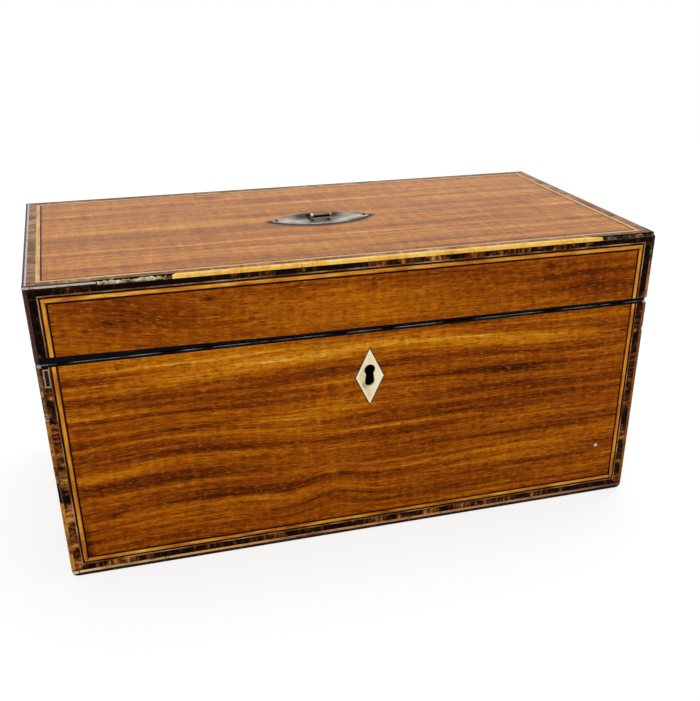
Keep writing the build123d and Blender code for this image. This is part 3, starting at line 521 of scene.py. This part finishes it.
def crossing(name, darker, spots=(), mended=None):
    """Banding laid across its run. Each spot is a centre on the front, a half size and a lightening."""
    wood, tree, shader = finish_of(name, Specular_IOR_Level=0.03)
    run, place = on_band(tree)
    patches = stretched(tree, place, (130, 70, 1), 4.0, 0.65, 1.1)
    rungs = stretched(tree, place, (560, 70, 1), 3.0, 0.6, 4.2)
    clots = stretched(tree, place, (420, 420, 1), 3.0, 0.6, 2.5)
    tone = 0.5 - darker
    for layer, share in ((patches, 1.35), (rungs, 0.75), (clots, 0.5)):
        tone = plus(tree, tone, times(tree, minus(tree, layer, 0.5), share))
    for centre, size, change in spots:
        spot = spot_on(tree, along(tree, long_side), centre, size)
        tone = plus(tree, tone, times(tree, spot, change))
    dark = ramp(tree, tone, [(0.34, shade(9, 3, 1)), (0.46, shade(40, 16, 4)), (0.57, shade(86, 42, 11)),
                             (0.69, shade(140, 84, 28)), (0.85, shade(196, 142, 70))])
    # On the top face the banding is paler and greyer: faded, and lit with a painted sheen.
    pale = ramp(tree, tone, [(0.25, shade(106, 74, 48)), (0.42, shade(138, 100, 70)),
                             (0.56, shade(162, 120, 86)), (0.75, shade(190, 150, 112))])
    chips = between(tree, clots, 0.70, 0.76)
    dark = blend(tree, times(tree, chips, 0.7), dark, shade(190, 168, 132))
    rough = between(tree, rungs, start=0.3, end=0.5)
    colour = blend(tree, run["Top"], dark, pale)
    if mended:
        colour = mended(tree, colour)
    wire(tree, shader, colour, rough, clots, 0.0001)
    return wood


def small_patch(tree, colour):
    """A mend near the top of the left upright, its glue line showing pale round it."""
    x, y, z = parts_of(tree, where_on(tree))
    beyond = [minus(tree, unsigned(tree, minus(tree, at, middle)), half)
              for at, middle, half in ((x, -0.1460, 0.0011), (z, 0.1042, 0.0040))]
    behind = times(tree, plus(tree, y, half_depth - 0.0001), 100.0)
    out = sums(tree, "MAXIMUM", sums(tree, "MAXIMUM", *beyond), behind)
    colour = blend(tree, below(tree, out, 0.0), colour, shade(44, 28, 14))
    line = between(tree, unsigned(tree, out), 0.00010, 0.00034, 0.8, 0.0)
    return blend(tree, line, colour, shade(196, 178, 146))


dress(crossing("body_banding", 0.06,
               [((-0.146, 0.030), (0.010, 0.070), 0.10), ((0.146, 0.060), (0.010, 0.120), -0.05),
                ((-0.110, 0.0045), (0.060, 0.006), 0.06)], small_patch), "body_crossbanding")
dress(crossing("lid_banding", 0.09,
               [((-0.110, 0.142), (0.070, 0.006), -0.16), ((0.020, 0.143), (0.100, 0.004), 0.04)]),
      "lid_crossbanding")


# ---- Lines ---------------------------------------------------------------------------------
# Inside the crossbanding runs a set of lines, sawn thin and let in with the veneer: a hair of
# tan wood, black, a broad light boxwood line and black again. The boxwood has yellowed.
light_middle = 0.001375


def boxwood_lines(name, tan_under_level, tan_under_side, foot_line=0.0):
    """The light lines. Nearer the arris than the limits they are the hair of tan, or the foot's line."""
    wood, tree, shader = finish_of(name, Specular_IOR_Level=0.1)
    run, place = on_band(tree)
    stain = stretched(tree, place, (60, 300, 1), 4.0, 0.65, 2.2)
    cuts = stretched(tree, place, (520, 60, 1), 2.0, 0.6, 8.8)
    light = ramp(tree, stain, [(0.28, shade(122, 62, 8)), (0.44, shade(194, 112, 18)),
                               (0.56, shade(224, 148, 36)), (0.72, shade(246, 188, 74))])
    faint = ramp(tree, stain, [(0.36, shade(76, 40, 16)), (0.5, shade(116, 72, 36)),
                               (0.64, shade(186, 152, 116))])
    # On the top face the lines are paler: faded, and lit with a painted sheen.
    cream = ramp(tree, stain, [(0.3, shade(178, 120, 60)), (0.5, shade(206, 154, 88)),
                               (0.7, shade(226, 184, 124))])
    limit = either_of(tree, run["Level"], tan_under_side, tan_under_level)
    tan = below(tree, run["Across"], limit)
    from_middle = unsigned(tree, minus(tree, minus(tree, run["Across"], limit), light_middle))
    dirty = between(tree, from_middle, 0.00055, 0.00092, 0.0, 0.75)
    upright = blend(tree, tan, blend(tree, dirty, light, shade(72, 32, 10)), faint)
    if foot_line:
        foot = times(tree, below(tree, run["Across"], foot_line), run["Level"])
        far = between(tree, run["Run"], -half_width, half_width)
        pale = ramp(tree, far, [(0.0, shade(248, 222, 158)), (0.2, shade(236, 176, 104)),
                                (0.9, shade(190, 136, 90)), (1.0, shade(84, 46, 34))])
        rubbed_off = between(tree, stain, 0.50, 0.64, 0.1, 0.8)
        pale = blend(tree, rubbed_off, pale, shade(96, 50, 24))
        upright = blend(tree, foot, upright, pale)
    colour = blend(tree, run["Top"], upright, cream)
    nicks = between(tree, cuts, 0.71, 0.76)
    colour = blend(tree, times(tree, nicks, 0.8), colour, shade(60, 26, 8))
    rough = between(tree, stain, start=0.3, end=0.45)
    wire(tree, shader, colour, rough, cuts, 0.00005)
    return wood


dress(boxwood_lines("body_lines", tan_under_level=0.0071, tan_under_side=0.0061, foot_line=0.0031),
      "body_boxwood_lines")
dress(boxwood_lines("lid_lines", tan_under_level=0.0052, tan_under_side=0.0061), "lid_boxwood_lines")

black_lines, tree, shader = finish_of("black_lines", Specular_IOR_Level=0.02)
run, place = on_band(tree)
worn = stretched(tree, place, (140, 400, 1), 4.0, 0.65, 6.0)
dark = ramp(tree, worn, [(0.40, shade(10, 3, 1)), (0.58, shade(32, 10, 3)), (0.75, shade(84, 36, 10))])
# On the top face the black lines show grey-brown: faded, and lit with a painted sheen.
grey = ramp(tree, worn, [(0.35, shade(40, 20, 14)), (0.6, shade(66, 38, 26)), (0.75, shade(110, 70, 46))])
rough = between(tree, worn, start=0.3, end=0.5)
wire(tree, shader, blend(tree, run["Top"], dark, grey), rough, worn, 0.00005)
dress(black_lines, "body_ebony_lines", "lid_ebony_lines")


# ---- Edge stringing ------------------------------------------------------------------------
# A square strip is let into every arris: boxwood, gone golden, up the body's corners and along
# the lid's front, and ebony elsewhere. Handling has rubbed the arrises, and a painted highlight
# lies along them; some lengths are lost.
past_strip_x, past_strip_y = 0.1480, 0.0760

# How far a place is in from the nearest arris, whether it is rubbed and painted as a highlight, and on which
# side it is.
tree, given, made = group("arris", [("Width", "Float", 0.0006), ("Spread", "Float", 260.0)],
                          [(side, "Float") for side in ("RubbedAndLit", "Across", "Right", "Left", "Back")])
where = where_on(tree)
x, y, z = parts_of(tree, where)
depths = [minus(tree, half_width, unsigned(tree, x)),
          minus(tree, half_depth, unsigned(tree, y)),
          sums(tree, "MINIMUM", z, minus(tree, lid_top, z))]
whole = plus(tree, plus(tree, *depths[:2]), depths[2])
most = sums(tree, "MAXIMUM", sums(tree, "MAXIMUM", *depths[:2]), depths[2])
from_arris = minus(tree, whole, most)
patchy = put(tree, "TexNoise", {"Vector": where, "Scale": given["Spread"], "Detail": 4.0, "Roughness": 0.6})
reach = times(tree, given["Width"], between(tree, patchy.outputs[0], 0.38, 0.62, 0.0, 1.6))
tree.links.new(between(tree, from_arris, 0.0, reach, 1.0, 0.0), made["RubbedAndLit"])
tree.links.new(from_arris, made["Across"])
tree.links.new(above(tree, x, past_strip_x), made["Right"])
tree.links.new(below(tree, x, -past_strip_x), made["Left"])
tree.links.new(above(tree, y, past_strip_y), made["Back"])
arris = tree


def edge_wood(name, colours, stained, rubbed_and_lit, right=None, left=None, back=None, over=None, nicked=0.62):
    """Square stringing: its colours, what stains it, and the colour where the arris is rubbed and given a
    painted highlight.
    """
    wood, tree, shader = finish_of(name, Specular_IOR_Level=0.05)
    place = where_on(tree)
    marks = put(tree, "Group", node_tree=arris).outputs
    long_stain = stretched(tree, place, (70, 70, 70), 5.0, 0.65, 1.0)
    fine = stretched(tree, place, (420, 420, 420), 3.0, 0.6, 3.0)
    tone = plus(tree, times(tree, long_stain, 0.6), times(tree, fine, 0.4))
    colour = ramp(tree, tone, colours)
    shift = times(tree, tone, 1.5, clamp=True)
    for side, tint in (("Right", right), ("Left", left), ("Back", back)):
        if tint:
            part = times(tree, marks[side], shift)
            colour = blend(tree, part, colour, tint)
    dents = stretched(tree, place, (560, 560, 560), 2.0, 0.6, 9.0)
    nicks = between(tree, dents, nicked, nicked + 0.08)
    colour = blend(tree, times(tree, nicks, 0.8), colour, stained)
    # Along the arris the colour is rubbed wear and a painted highlight together.
    colour = blend(tree, times(tree, marks["RubbedAndLit"], 0.8), colour, rubbed_and_lit)
    if over:
        colour = over(tree, place, marks, fine, colour)
    rough = between(tree, fine, start=0.3, end=0.5)
    wire(tree, shader, colour, rough, fine, 0.0001)
    return wood


def edge_highlights_and_grime(tree, place, marks, fine, colour):
    """Painted highlights: a grey strip on the left top, a light line atop the front at the left; the near
    right corner is grimy.
    """
    x, y, z = parts_of(tree, place)
    on_top = above(tree, z, 0.14555)
    broken = between(tree, fine, 0.28, 0.42)
    # Painted highlight: a broken grey strip inside the left top arris.
    inner = between(tree, marks["Across"], 0.0009, 0.0011)
    left_highlight = times(tree, times(tree, inner, marks["Left"]), on_top)
    colour = blend(tree, times(tree, left_highlight, broken), colour, shade(190, 184, 186))
    front = times(tree, below(tree, y, -past_strip_y), below(tree, x, -0.110))
    colour = blend(tree, times(tree, front, on_top), colour, shade(16, 8, 6))
    # Painted highlight: a broken light line along the top of the front face at the left, where the top face
    # is near black.
    face = times(tree, below(tree, y, -0.07795), above(tree, z, 0.1446))
    colour = blend(tree, times(tree, times(tree, front, face), broken), colour, shade(206, 192, 172))
    high = between(tree, z, 0.122, 0.134)
    corner = times(tree, times(tree, high, marks["Right"]), below(tree, y, -0.066))
    chipped = between(tree, fine, 0.54, 0.62)
    grimy = blend(tree, chipped, shade(30, 26, 16), shade(132, 124, 92))
    return blend(tree, times(tree, corner, 0.95), colour, grimy)


dress(edge_wood("golden_edge", [(0.34, shade(204, 132, 40)), (0.43, shade(240, 174, 66)),
                                (0.53, shade(252, 198, 88)), (0.66, shade(254, 218, 128))],
                shade(92, 50, 16), shade(254, 228, 156), nicked=0.69), "lid_boxwood_edge")
dress(edge_wood("brown_edge", [(0.36, shade(84, 46, 12)), (0.46, shade(142, 86, 28)),
                               (0.54, shade(186, 124, 50)), (0.64, shade(216, 160, 84))],
                shade(50, 24, 8), shade(210, 160, 96), right=shade(112, 60, 24)), "body_boxwood_edge")
dress(edge_wood("black_edge", [(0.36, shade(14, 8, 7)), (0.50, shade(34, 20, 17)), (0.62, shade(78, 52, 42))],
                shade(70, 48, 38), shade(120, 100, 86), right=shade(188, 124, 86), left=shade(84, 50, 46),
                back=shade(118, 58, 34), over=edge_highlights_and_grime), "lid_ebony_edge")
dress(edge_wood("foot_edge", [(0.36, shade(14, 8, 7)), (0.52, shade(36, 20, 15)), (0.64, shade(84, 54, 38))],
                shade(110, 82, 60), shade(70, 48, 38), right=shade(120, 84, 60)), "body_ebony_edge")

# The body's front corners are worn round at the foot, where the box is stood down.
corner_size, round_at_foot, round_at_rim, hair = 0.0036, 0.0027, 0.0005, 0.0001
strip_x, strip_y = 0.1482, 0.0762
black_up_to, line_up_to = 0.0014, 0.0030


def foot_corner(name, side, tip, line, brown):
    """One rounded corner, in the colours of the three strips that meet in it."""
    worn = bmesh.new()
    bmesh.ops.create_cube(worn, size=corner_size)
    bmesh.ops.translate(worn, verts=worn.verts, vec=(side * strip_x, -strip_y, corner_size / 2))
    outer = [e for e in worn.edges if all(abs(v.co.x - side * half_width) < 1e-5 for v in e.verts)
             and all(v.co.z < 1e-5 for v in e.verts)]
    bmesh.ops.bevel(worn, geom=outer, offset=round_at_foot, offset_type="OFFSET", affect="EDGES",
                    segments=8, profile=0.5, material=-1)
    rim = [e for e in worn.edges if all(v.co.y < hair - half_depth for v in e.verts)
           and not all(abs(v.co.x - side * (half_width - corner_size)) < 1e-5 for v in e.verts)
           and not all(v.co.z > corner_size - hair for v in e.verts)]
    bmesh.ops.bevel(worn, geom=rim, offset=round_at_rim, offset_type="OFFSET", affect="EDGES",
                    segments=3, profile=0.5, material=-1)
    bmesh.ops.recalc_face_normals(worn, faces=worn.faces)
    piece = piece_of(name, worn)
    wood, tree, shader = finish_of(name, Specular_IOR_Level=0.05)
    place = where_on(tree)
    fine = stretched(tree, place, (600, 600, 600), 3.0, 0.6, 3.0)
    x, y, z = parts_of(tree, place)
    height = plus(tree, z, times(tree, minus(tree, fine, 0.5), 0.0008))
    colour = blend(tree, above(tree, height, line_up_to), tip, brown)
    colour = blend(tree, below(tree, height, line_up_to), colour, line)
    colour = blend(tree, below(tree, height, black_up_to), colour, shade(18, 10, 8))
    colour = blend(tree, times(tree, fine, 0.4), colour, shade(60, 34, 20))
    wire(tree, shader, colour, between(tree, fine, start=0.35, end=0.55), fine, 0.0001)
    piece.data.materials.append(wood)
    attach(piece, "case")


foot_corner("foot_corner_left", -1, shade(236, 206, 150), shade(246, 214, 156), shade(86, 46, 22))
foot_corner("foot_corner_right", 1, shade(120, 84, 60), shade(130, 88, 62), shade(124, 76, 44))


# What is left of the glue in the empty rebates: a brittle crust, thickest in the angle.
def crumbly(name, deep, middle, light, palest):
    """Glue or torn wood in an empty rebate."""
    stuff, tree, shader = finish_of(name, Specular_IOR_Level=0.1)
    place = where_on(tree)
    crumbs = stretched(tree, place, (900, 900, 900), 3.0, 0.6, 2.0)
    clots = stretched(tree, place, (260, 260, 260), 4.0, 0.62, 6.0)
    colour = ramp(tree, clots, [(0.38, deep), (0.47, middle), (0.55, light), (0.64, palest)])
    colour = blend(tree, times(tree, crumbs, 0.4), colour, deep)
    wire(tree, shader, colour, between(tree, crumbs, start=0.45, end=0.8), crumbs, 0.0002)
    return stuff


glue = crumbly("old_glue", shade(30, 20, 14), shade(84, 66, 48), shade(120, 112, 98),
               shade(186, 170, 146))
pale_glue = crumbly("pale_glue", shade(110, 84, 52), shade(200, 176, 132), shade(236, 224, 194),
                    shade(252, 248, 234))
torn_wood = crumbly("torn_wood", shade(74, 50, 24), shade(130, 102, 58), shade(158, 130, 80),
                    shade(220, 204, 168))
crumb = 0.0006


def crust(name, finish, low, high, body, thick, seed):
    """A crust in a rebate between two corners; thick is how far it fills the rebate, 0 to 1."""
    lump = bmesh.new()
    bmesh.ops.create_cube(lump, size=1.0)
    size = Vector(high) - Vector(low)
    bmesh.ops.scale(lump, verts=lump.verts, vec=size)
    bmesh.ops.translate(lump, verts=lump.verts, vec=(Vector(low) + Vector(high)) / 2)
    run = max(range(3), key=lambda k: size[k])
    for axis in range(3):
        cuts = int(size[axis] / crumb) if axis == run else 4
        lengths = [e for e in lump.edges if abs((e.verts[1].co - e.verts[0].co)[axis]) > 1e-5]
        bmesh.ops.subdivide_edges(lump, edges=lengths, cuts=cuts, use_grid_fill=True)
    for v in lump.verts:
        angle = Vector((high[0], high[1], low[2]))
        angle[run] = v.co[run]
        rough = 0.5 + 0.5 * noise.fractal(v.co * 700 + Vector((seed, 0, 0)), 0.6, 2.0, 4)
        v.co = angle + (v.co - angle) * max(0.04, min(0.96, thick * (0.25 + 1.1 * rough)))
    bmesh.ops.recalc_face_normals(lump, faces=lump.faces)
    piece = piece_of(name, lump)
    piece.data.materials.append(finish)
    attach(piece, body)


# Crusts are left along the lid's front top arris and up the body's left front one.
outer_y, lid_low, lid_high, outer_x = -0.0778, 0.1438, 0.1454, -0.1498
for name, finish, start, end, thick, seed in (("glue_lid_right", glue, 0.1215, 0.1480, 0.75, 1.0),
                                              ("glue_lid_left", pale_glue, -0.1195, -0.0905, 0.85, 3.0)):
    crust(name, finish, (start, outer_y, lid_low), (end, -strip_y, lid_high), "lid", thick, seed)
for name, finish, start, end, thick, seed in (("glue_corner_high", torn_wood, 0.0875, 0.1090, 0.95, 5.0),
                                              ("glue_corner_foot", pale_glue, 0.0835, 0.0873, 1.0, 9.0),
                                              ("glue_corner_low", glue, 0.0412, 0.0560, 0.45, 7.0)):
    crust(name, finish, (outer_x, outer_y, start), (-strip_x, -strip_y, end), "case", thick, seed)


# ---- Lip facings ---------------------------------------------------------------------------
# The meeting edges of body and lid are faced with thin ebony, mitred, with the outer arris
# rubbed round. The black is dull in places; a thin broken grey line along the meeting arris
# is a painted highlight.
joint_height = 0.1106
lip_wood, tree, shader = finish_of("lip_ebony", Specular_IOR_Level=0.03)
place = where_on(tree)
worn = stretched(tree, place, (70, 70, 300), 4.0, 0.6, 4.0)
fine = stretched(tree, place, (600, 600, 600), 2.0, 0.6, 2.0)
colour = ramp(tree, worn, [(0.35, shade(7, 5, 6)), (0.6, shade(16, 12, 13)), (0.75, shade(44, 38, 38))])
x, y, z = parts_of(tree, place)
from_joint = unsigned(tree, minus(tree, z, joint_height))
in_from_face = sums(tree, "MINIMUM", minus(tree, half_width, unsigned(tree, x)),
                    minus(tree, half_depth, unsigned(tree, y)))
# Painted highlight: a thin, broken grey line along the meeting arris of the outer faces.
arris_highlight = between(tree, from_joint, 0.00003, 0.00026, 1.0, 0.0)
arris_highlight = times(tree, arris_highlight, between(tree, worn, 0.40, 0.60))
arris_highlight = times(tree, arris_highlight, below(tree, in_from_face, 0.0004))
colour = blend(tree, arris_highlight, colour, shade(176, 182, 188))
for near_x, tint in ((-0.1490, shade(176, 170, 186)), (0.1492, shade(226, 204, 184))):
    chip = vectors(tree, "DISTANCE", place, (near_x, -half_depth, 0.1100))
    chip = between(tree, chip, 0.0010, 0.0016, 1.0, 0.0)
    colour = blend(tree, times(tree, chip, 0.8), colour, tint)
rough = between(tree, fine, start=0.3, end=0.5)
wire(tree, shader, colour, rough, fine, 0.00005)
dress(lip_wood, "body_lip", "lid_lip")


# ---- Escutcheon ----------------------------------------------------------------------------
# A diamond of bone, about 1 mm thick, let in round the keyhole and filed nearly flush. It is
# cream, with faint grey pores, and stained brown beside the hole where fingers met the key.
bone, tree, shader = finish_of("bone", Specular_IOR_Level=0.4)
place = along(tree, (2, 0, 1))
clouds = stretched(tree, place, (60, 160, 60), 3.0, 0.5, 1.0)
pores = stretched(tree, place, (500, 2600, 500), 2.0, 0.6, 2.0)
colour = ramp(tree, clouds, [(0.3, shade(232, 214, 158)), (0.5, shade(248, 234, 184)),
                             (0.7, shade(253, 244, 206))])
specks = between(tree, pores, 0.64, 0.72)
colour = blend(tree, times(tree, specks, 0.35), colour, shade(150, 120, 84))
stain = spot_on(tree, along(tree, long_side), (-0.0016, 0.0825), (0.0034, 0.0030))
colour = blend(tree, times(tree, stain, 0.6), colour, shade(130, 84, 40))
x, y, z = parts_of(tree, where_on(tree))
rim = between(tree, out_from_diamond(tree, x, z), 0.80, 0.90)
colour = blend(tree, times(tree, rim, 0.7), colour, shade(255, 251, 236))
rough = between(tree, clouds, start=0.3, end=0.45)
wire(tree, shader, colour, rough, pores, 0.00003)
dress(bone, "escutcheon")


# ---- Lock and link plate -------------------------------------------------------------------
# A brass box lock fills a mortise in the front wall: case, cap, steel pin and a filed steel
# bolt with two hooks. A brass link plate in the lid drops its two pierced tabs into it.
def metal(name, bright, dull, deep, scale=(120, 120, 120), rough=(0.28, 0.5), spread=(0.4, 0.62), over=None):
    """Old metal: bright where rubbed, dull between, and deep in the stains."""
    new, tree, shader = finish_of(name, Metallic=1.0)
    place = where_on(tree)
    cloud = stretched(tree, place, scale, 5.0, 0.62, 1.5)
    brushed = stretched(tree, place, (400, 3200, 3200), 2.0, 0.6, 4.5)
    spots = stretched(tree, place, (900, 900, 900), 3.0, 0.6, 6.5)
    colour = ramp(tree, cloud, [(spread[0], deep), (0.5, dull), (spread[1], bright)])
    flecks = between(tree, spots, 0.62, 0.74)
    colour = blend(tree, times(tree, flecks, 0.6), colour, deep)
    if over:
        colour = over(tree, colour)
    gloss = plus(tree, times(tree, cloud, rough[0] - rough[1]), rough[1])
    gloss = plus(tree, gloss, times(tree, brushed, 0.08))
    wire(tree, shader, colour, gloss, brushed, 0.00002)
    return new


def keyhole_shade(tree, colour):
    """Painted shade: near black behind the keyhole."""
    behind = spot_on(tree, along(tree, long_side), (key_x, 0.0885), (0.011, 0.015))
    return blend(tree, times(tree, behind, 6.0, clamp=True), colour, shade(5, 4, 4))


brass_colours = shade(206, 170, 104), shade(168, 132, 72), shade(96, 72, 38)
iron_colours = shade(150, 146, 140), shade(112, 106, 100), shade(60, 50, 44)
brass = metal("old_brass", *brass_colours)
lock_brass = metal("lock_brass", *brass_colours, over=keyhole_shade)
iron = metal("filed_iron", *iron_colours)
dress(lock_brass, "lock_case", "lock_cap")
dress(brass, "link_plate")
dress(metal("lock_iron", *iron_colours, over=keyhole_shade), "lock_pin", "lock_bolt")
dress(iron, "lock_screws", "link_screws")


# ---- Hinges --------------------------------------------------------------------------------
# Two cast brass stop hinges. Each leaf is let into a wall's edge and held by three iron
# screws; the flat tails behind the pin all but meet when the lid stands open.
dress(brass, "body_hinge_leaves", "lid_hinge_leaves")
dress(iron, "hinge_pins", "body_hinge_screws", "lid_hinge_screws")


# ---- Handle --------------------------------------------------------------------------------
# A pointed-oval plate of plated brass, pinned at its tips, with a pressed well. A small bail
# turns on a wire in it. The plate has tarnished grey and the grip is worn through to brass;
# shade and highlights on both are painted into their colours.
def tarnish_and_painted_light(tree, colour):
    """Brown tarnish at the tips; painted shade on the back and before the grip; painted highlights on the two
    lobes.
    """
    # The first two spots are painted shade, the next two painted highlights, the last two tarnish at the
    # pinned tips.
    for centre, size, amount, tint in (
            ((plate_x, 0.0070), (0.0270, 0.0120), 1.5, shade(52, 42, 32)),
            ((plate_x, -0.0050), (0.0110, 0.0030), 0.6, shade(100, 92, 78)),
            ((-0.0170, -0.0020), (0.0100, 0.0060), 0.6, shade(178, 172, 162)),
            ((0.0130, -0.0020), (0.0100, 0.0060), 0.6, shade(184, 168, 154)),
            ((-0.0295, plate_y), (0.0030, 0.0030), 2.0, shade(92, 62, 40)),
            ((0.0252, plate_y), (0.0034, 0.0030), 2.0, shade(92, 62, 40))):
        spot = spot_on(tree, along(tree, level_side), centre, size)
        colour = blend(tree, times(tree, spot, amount, clamp=True), colour, tint)
    return colour


groove_height = 0.14705


def wear_and_painted_light(tree, colour):
    """Worn to brass on top; painted highlight on the lower bead, painted shade in the groove, a painted glint
    at the left end.
    """
    along_x, depth, height = parts_of(tree, where_on(tree))
    upper = between(tree, height, 0.14700, 0.14720)
    bronze = between(tree, along_x, -0.006, 0.002)
    bronze = blend(tree, bronze, shade(112, 94, 46), shade(80, 66, 32))
    colour = blend(tree, times(tree, upper, 0.9), colour, bronze)
    # Painted highlight on the lower bead of the grip's front.
    front = times(tree, below(tree, depth, -0.0020), above(tree, height, 0.1457))
    lit_bead = times(tree, front, below(tree, height, 0.14640))
    colour = blend(tree, lit_bead, colour, shade(206, 204, 192))
    # Painted shade: the groove on the front goes black.
    from_groove = unsigned(tree, minus(tree, height, groove_height))
    groove_shade = between(tree, from_groove, 0.00058, 0.00068, 1.0, 0.0)
    colour = blend(tree, times(tree, groove_shade, front), colour, shade(10, 8, 5))
    # A painted glint at the left end, and a tan spot at the right end.
    for x, tint in ((-0.0073, shade(232, 232, 228)), (0.0028, shade(186, 150, 104))):
        end = spot_on(tree, along(tree, long_side), (x, 0.1480), (0.0011, 0.0016))
        colour = blend(tree, end, colour, tint)
    return colour


plated = metal("plate_tarnish_and_painted_light", shade(168, 162, 152), shade(140, 134, 122), shade(84, 74, 60),
               scale=(90, 160, 90), rough=(0.42, 0.62), spread=(0.34, 0.60), over=tarnish_and_painted_light)
grip = metal("grip_wear_and_painted_light", shade(164, 158, 144), shade(136, 126, 106), shade(80, 66, 42),
             scale=(150, 150, 150), over=wear_and_painted_light)
dress(plated, "handle_plate", "handle_pivot")
dress(grip, "handle_bail")
dress(metal("nail_heads", shade(112, 90, 62), shade(76, 56, 36), shade(40, 30, 22)), "handle_nails")


# ---- Inside --------------------------------------------------------------------------------
# Walls, floor and lid are lined with thin green baize, glued down. Two notched racks stand
# across the box and carry the knives by their blades and handles.
baize, tree, shader = finish_of("baize", Specular_IOR_Level=0.1, Sheen_Weight=0.3, Sheen_Roughness=0.6)
place = where_on(tree)
nap = stretched(tree, place, (2200, 2200, 2200), 3.0, 0.6, 1.0)
bleached = stretched(tree, place, (22, 22, 22), 4.0, 0.55, 2.0)
threads = stretched(tree, place, (5200, 1300, 5200), 1.0, 0.5, 3.0)
colour = ramp(tree, bleached, [(0.3, shade(34, 70, 44)), (0.5, shade(46, 88, 56)), (0.7, shade(66, 108, 70))])
colour = blend(tree, times(tree, nap, 0.5), colour, shade(28, 58, 38))
rough = between(tree, nap, start=0.85, end=1.0)
wire(tree, shader, colour, rough, plus(tree, nap, threads), 0.0003)
dress(baize, "body_floor_lining", "body_wall_lining", "lid_wall_lining", "lid_ceiling_lining")
dress(mahogany("mahogany_racks", end_side, 2.2), "blade_rack", "handle_rack")
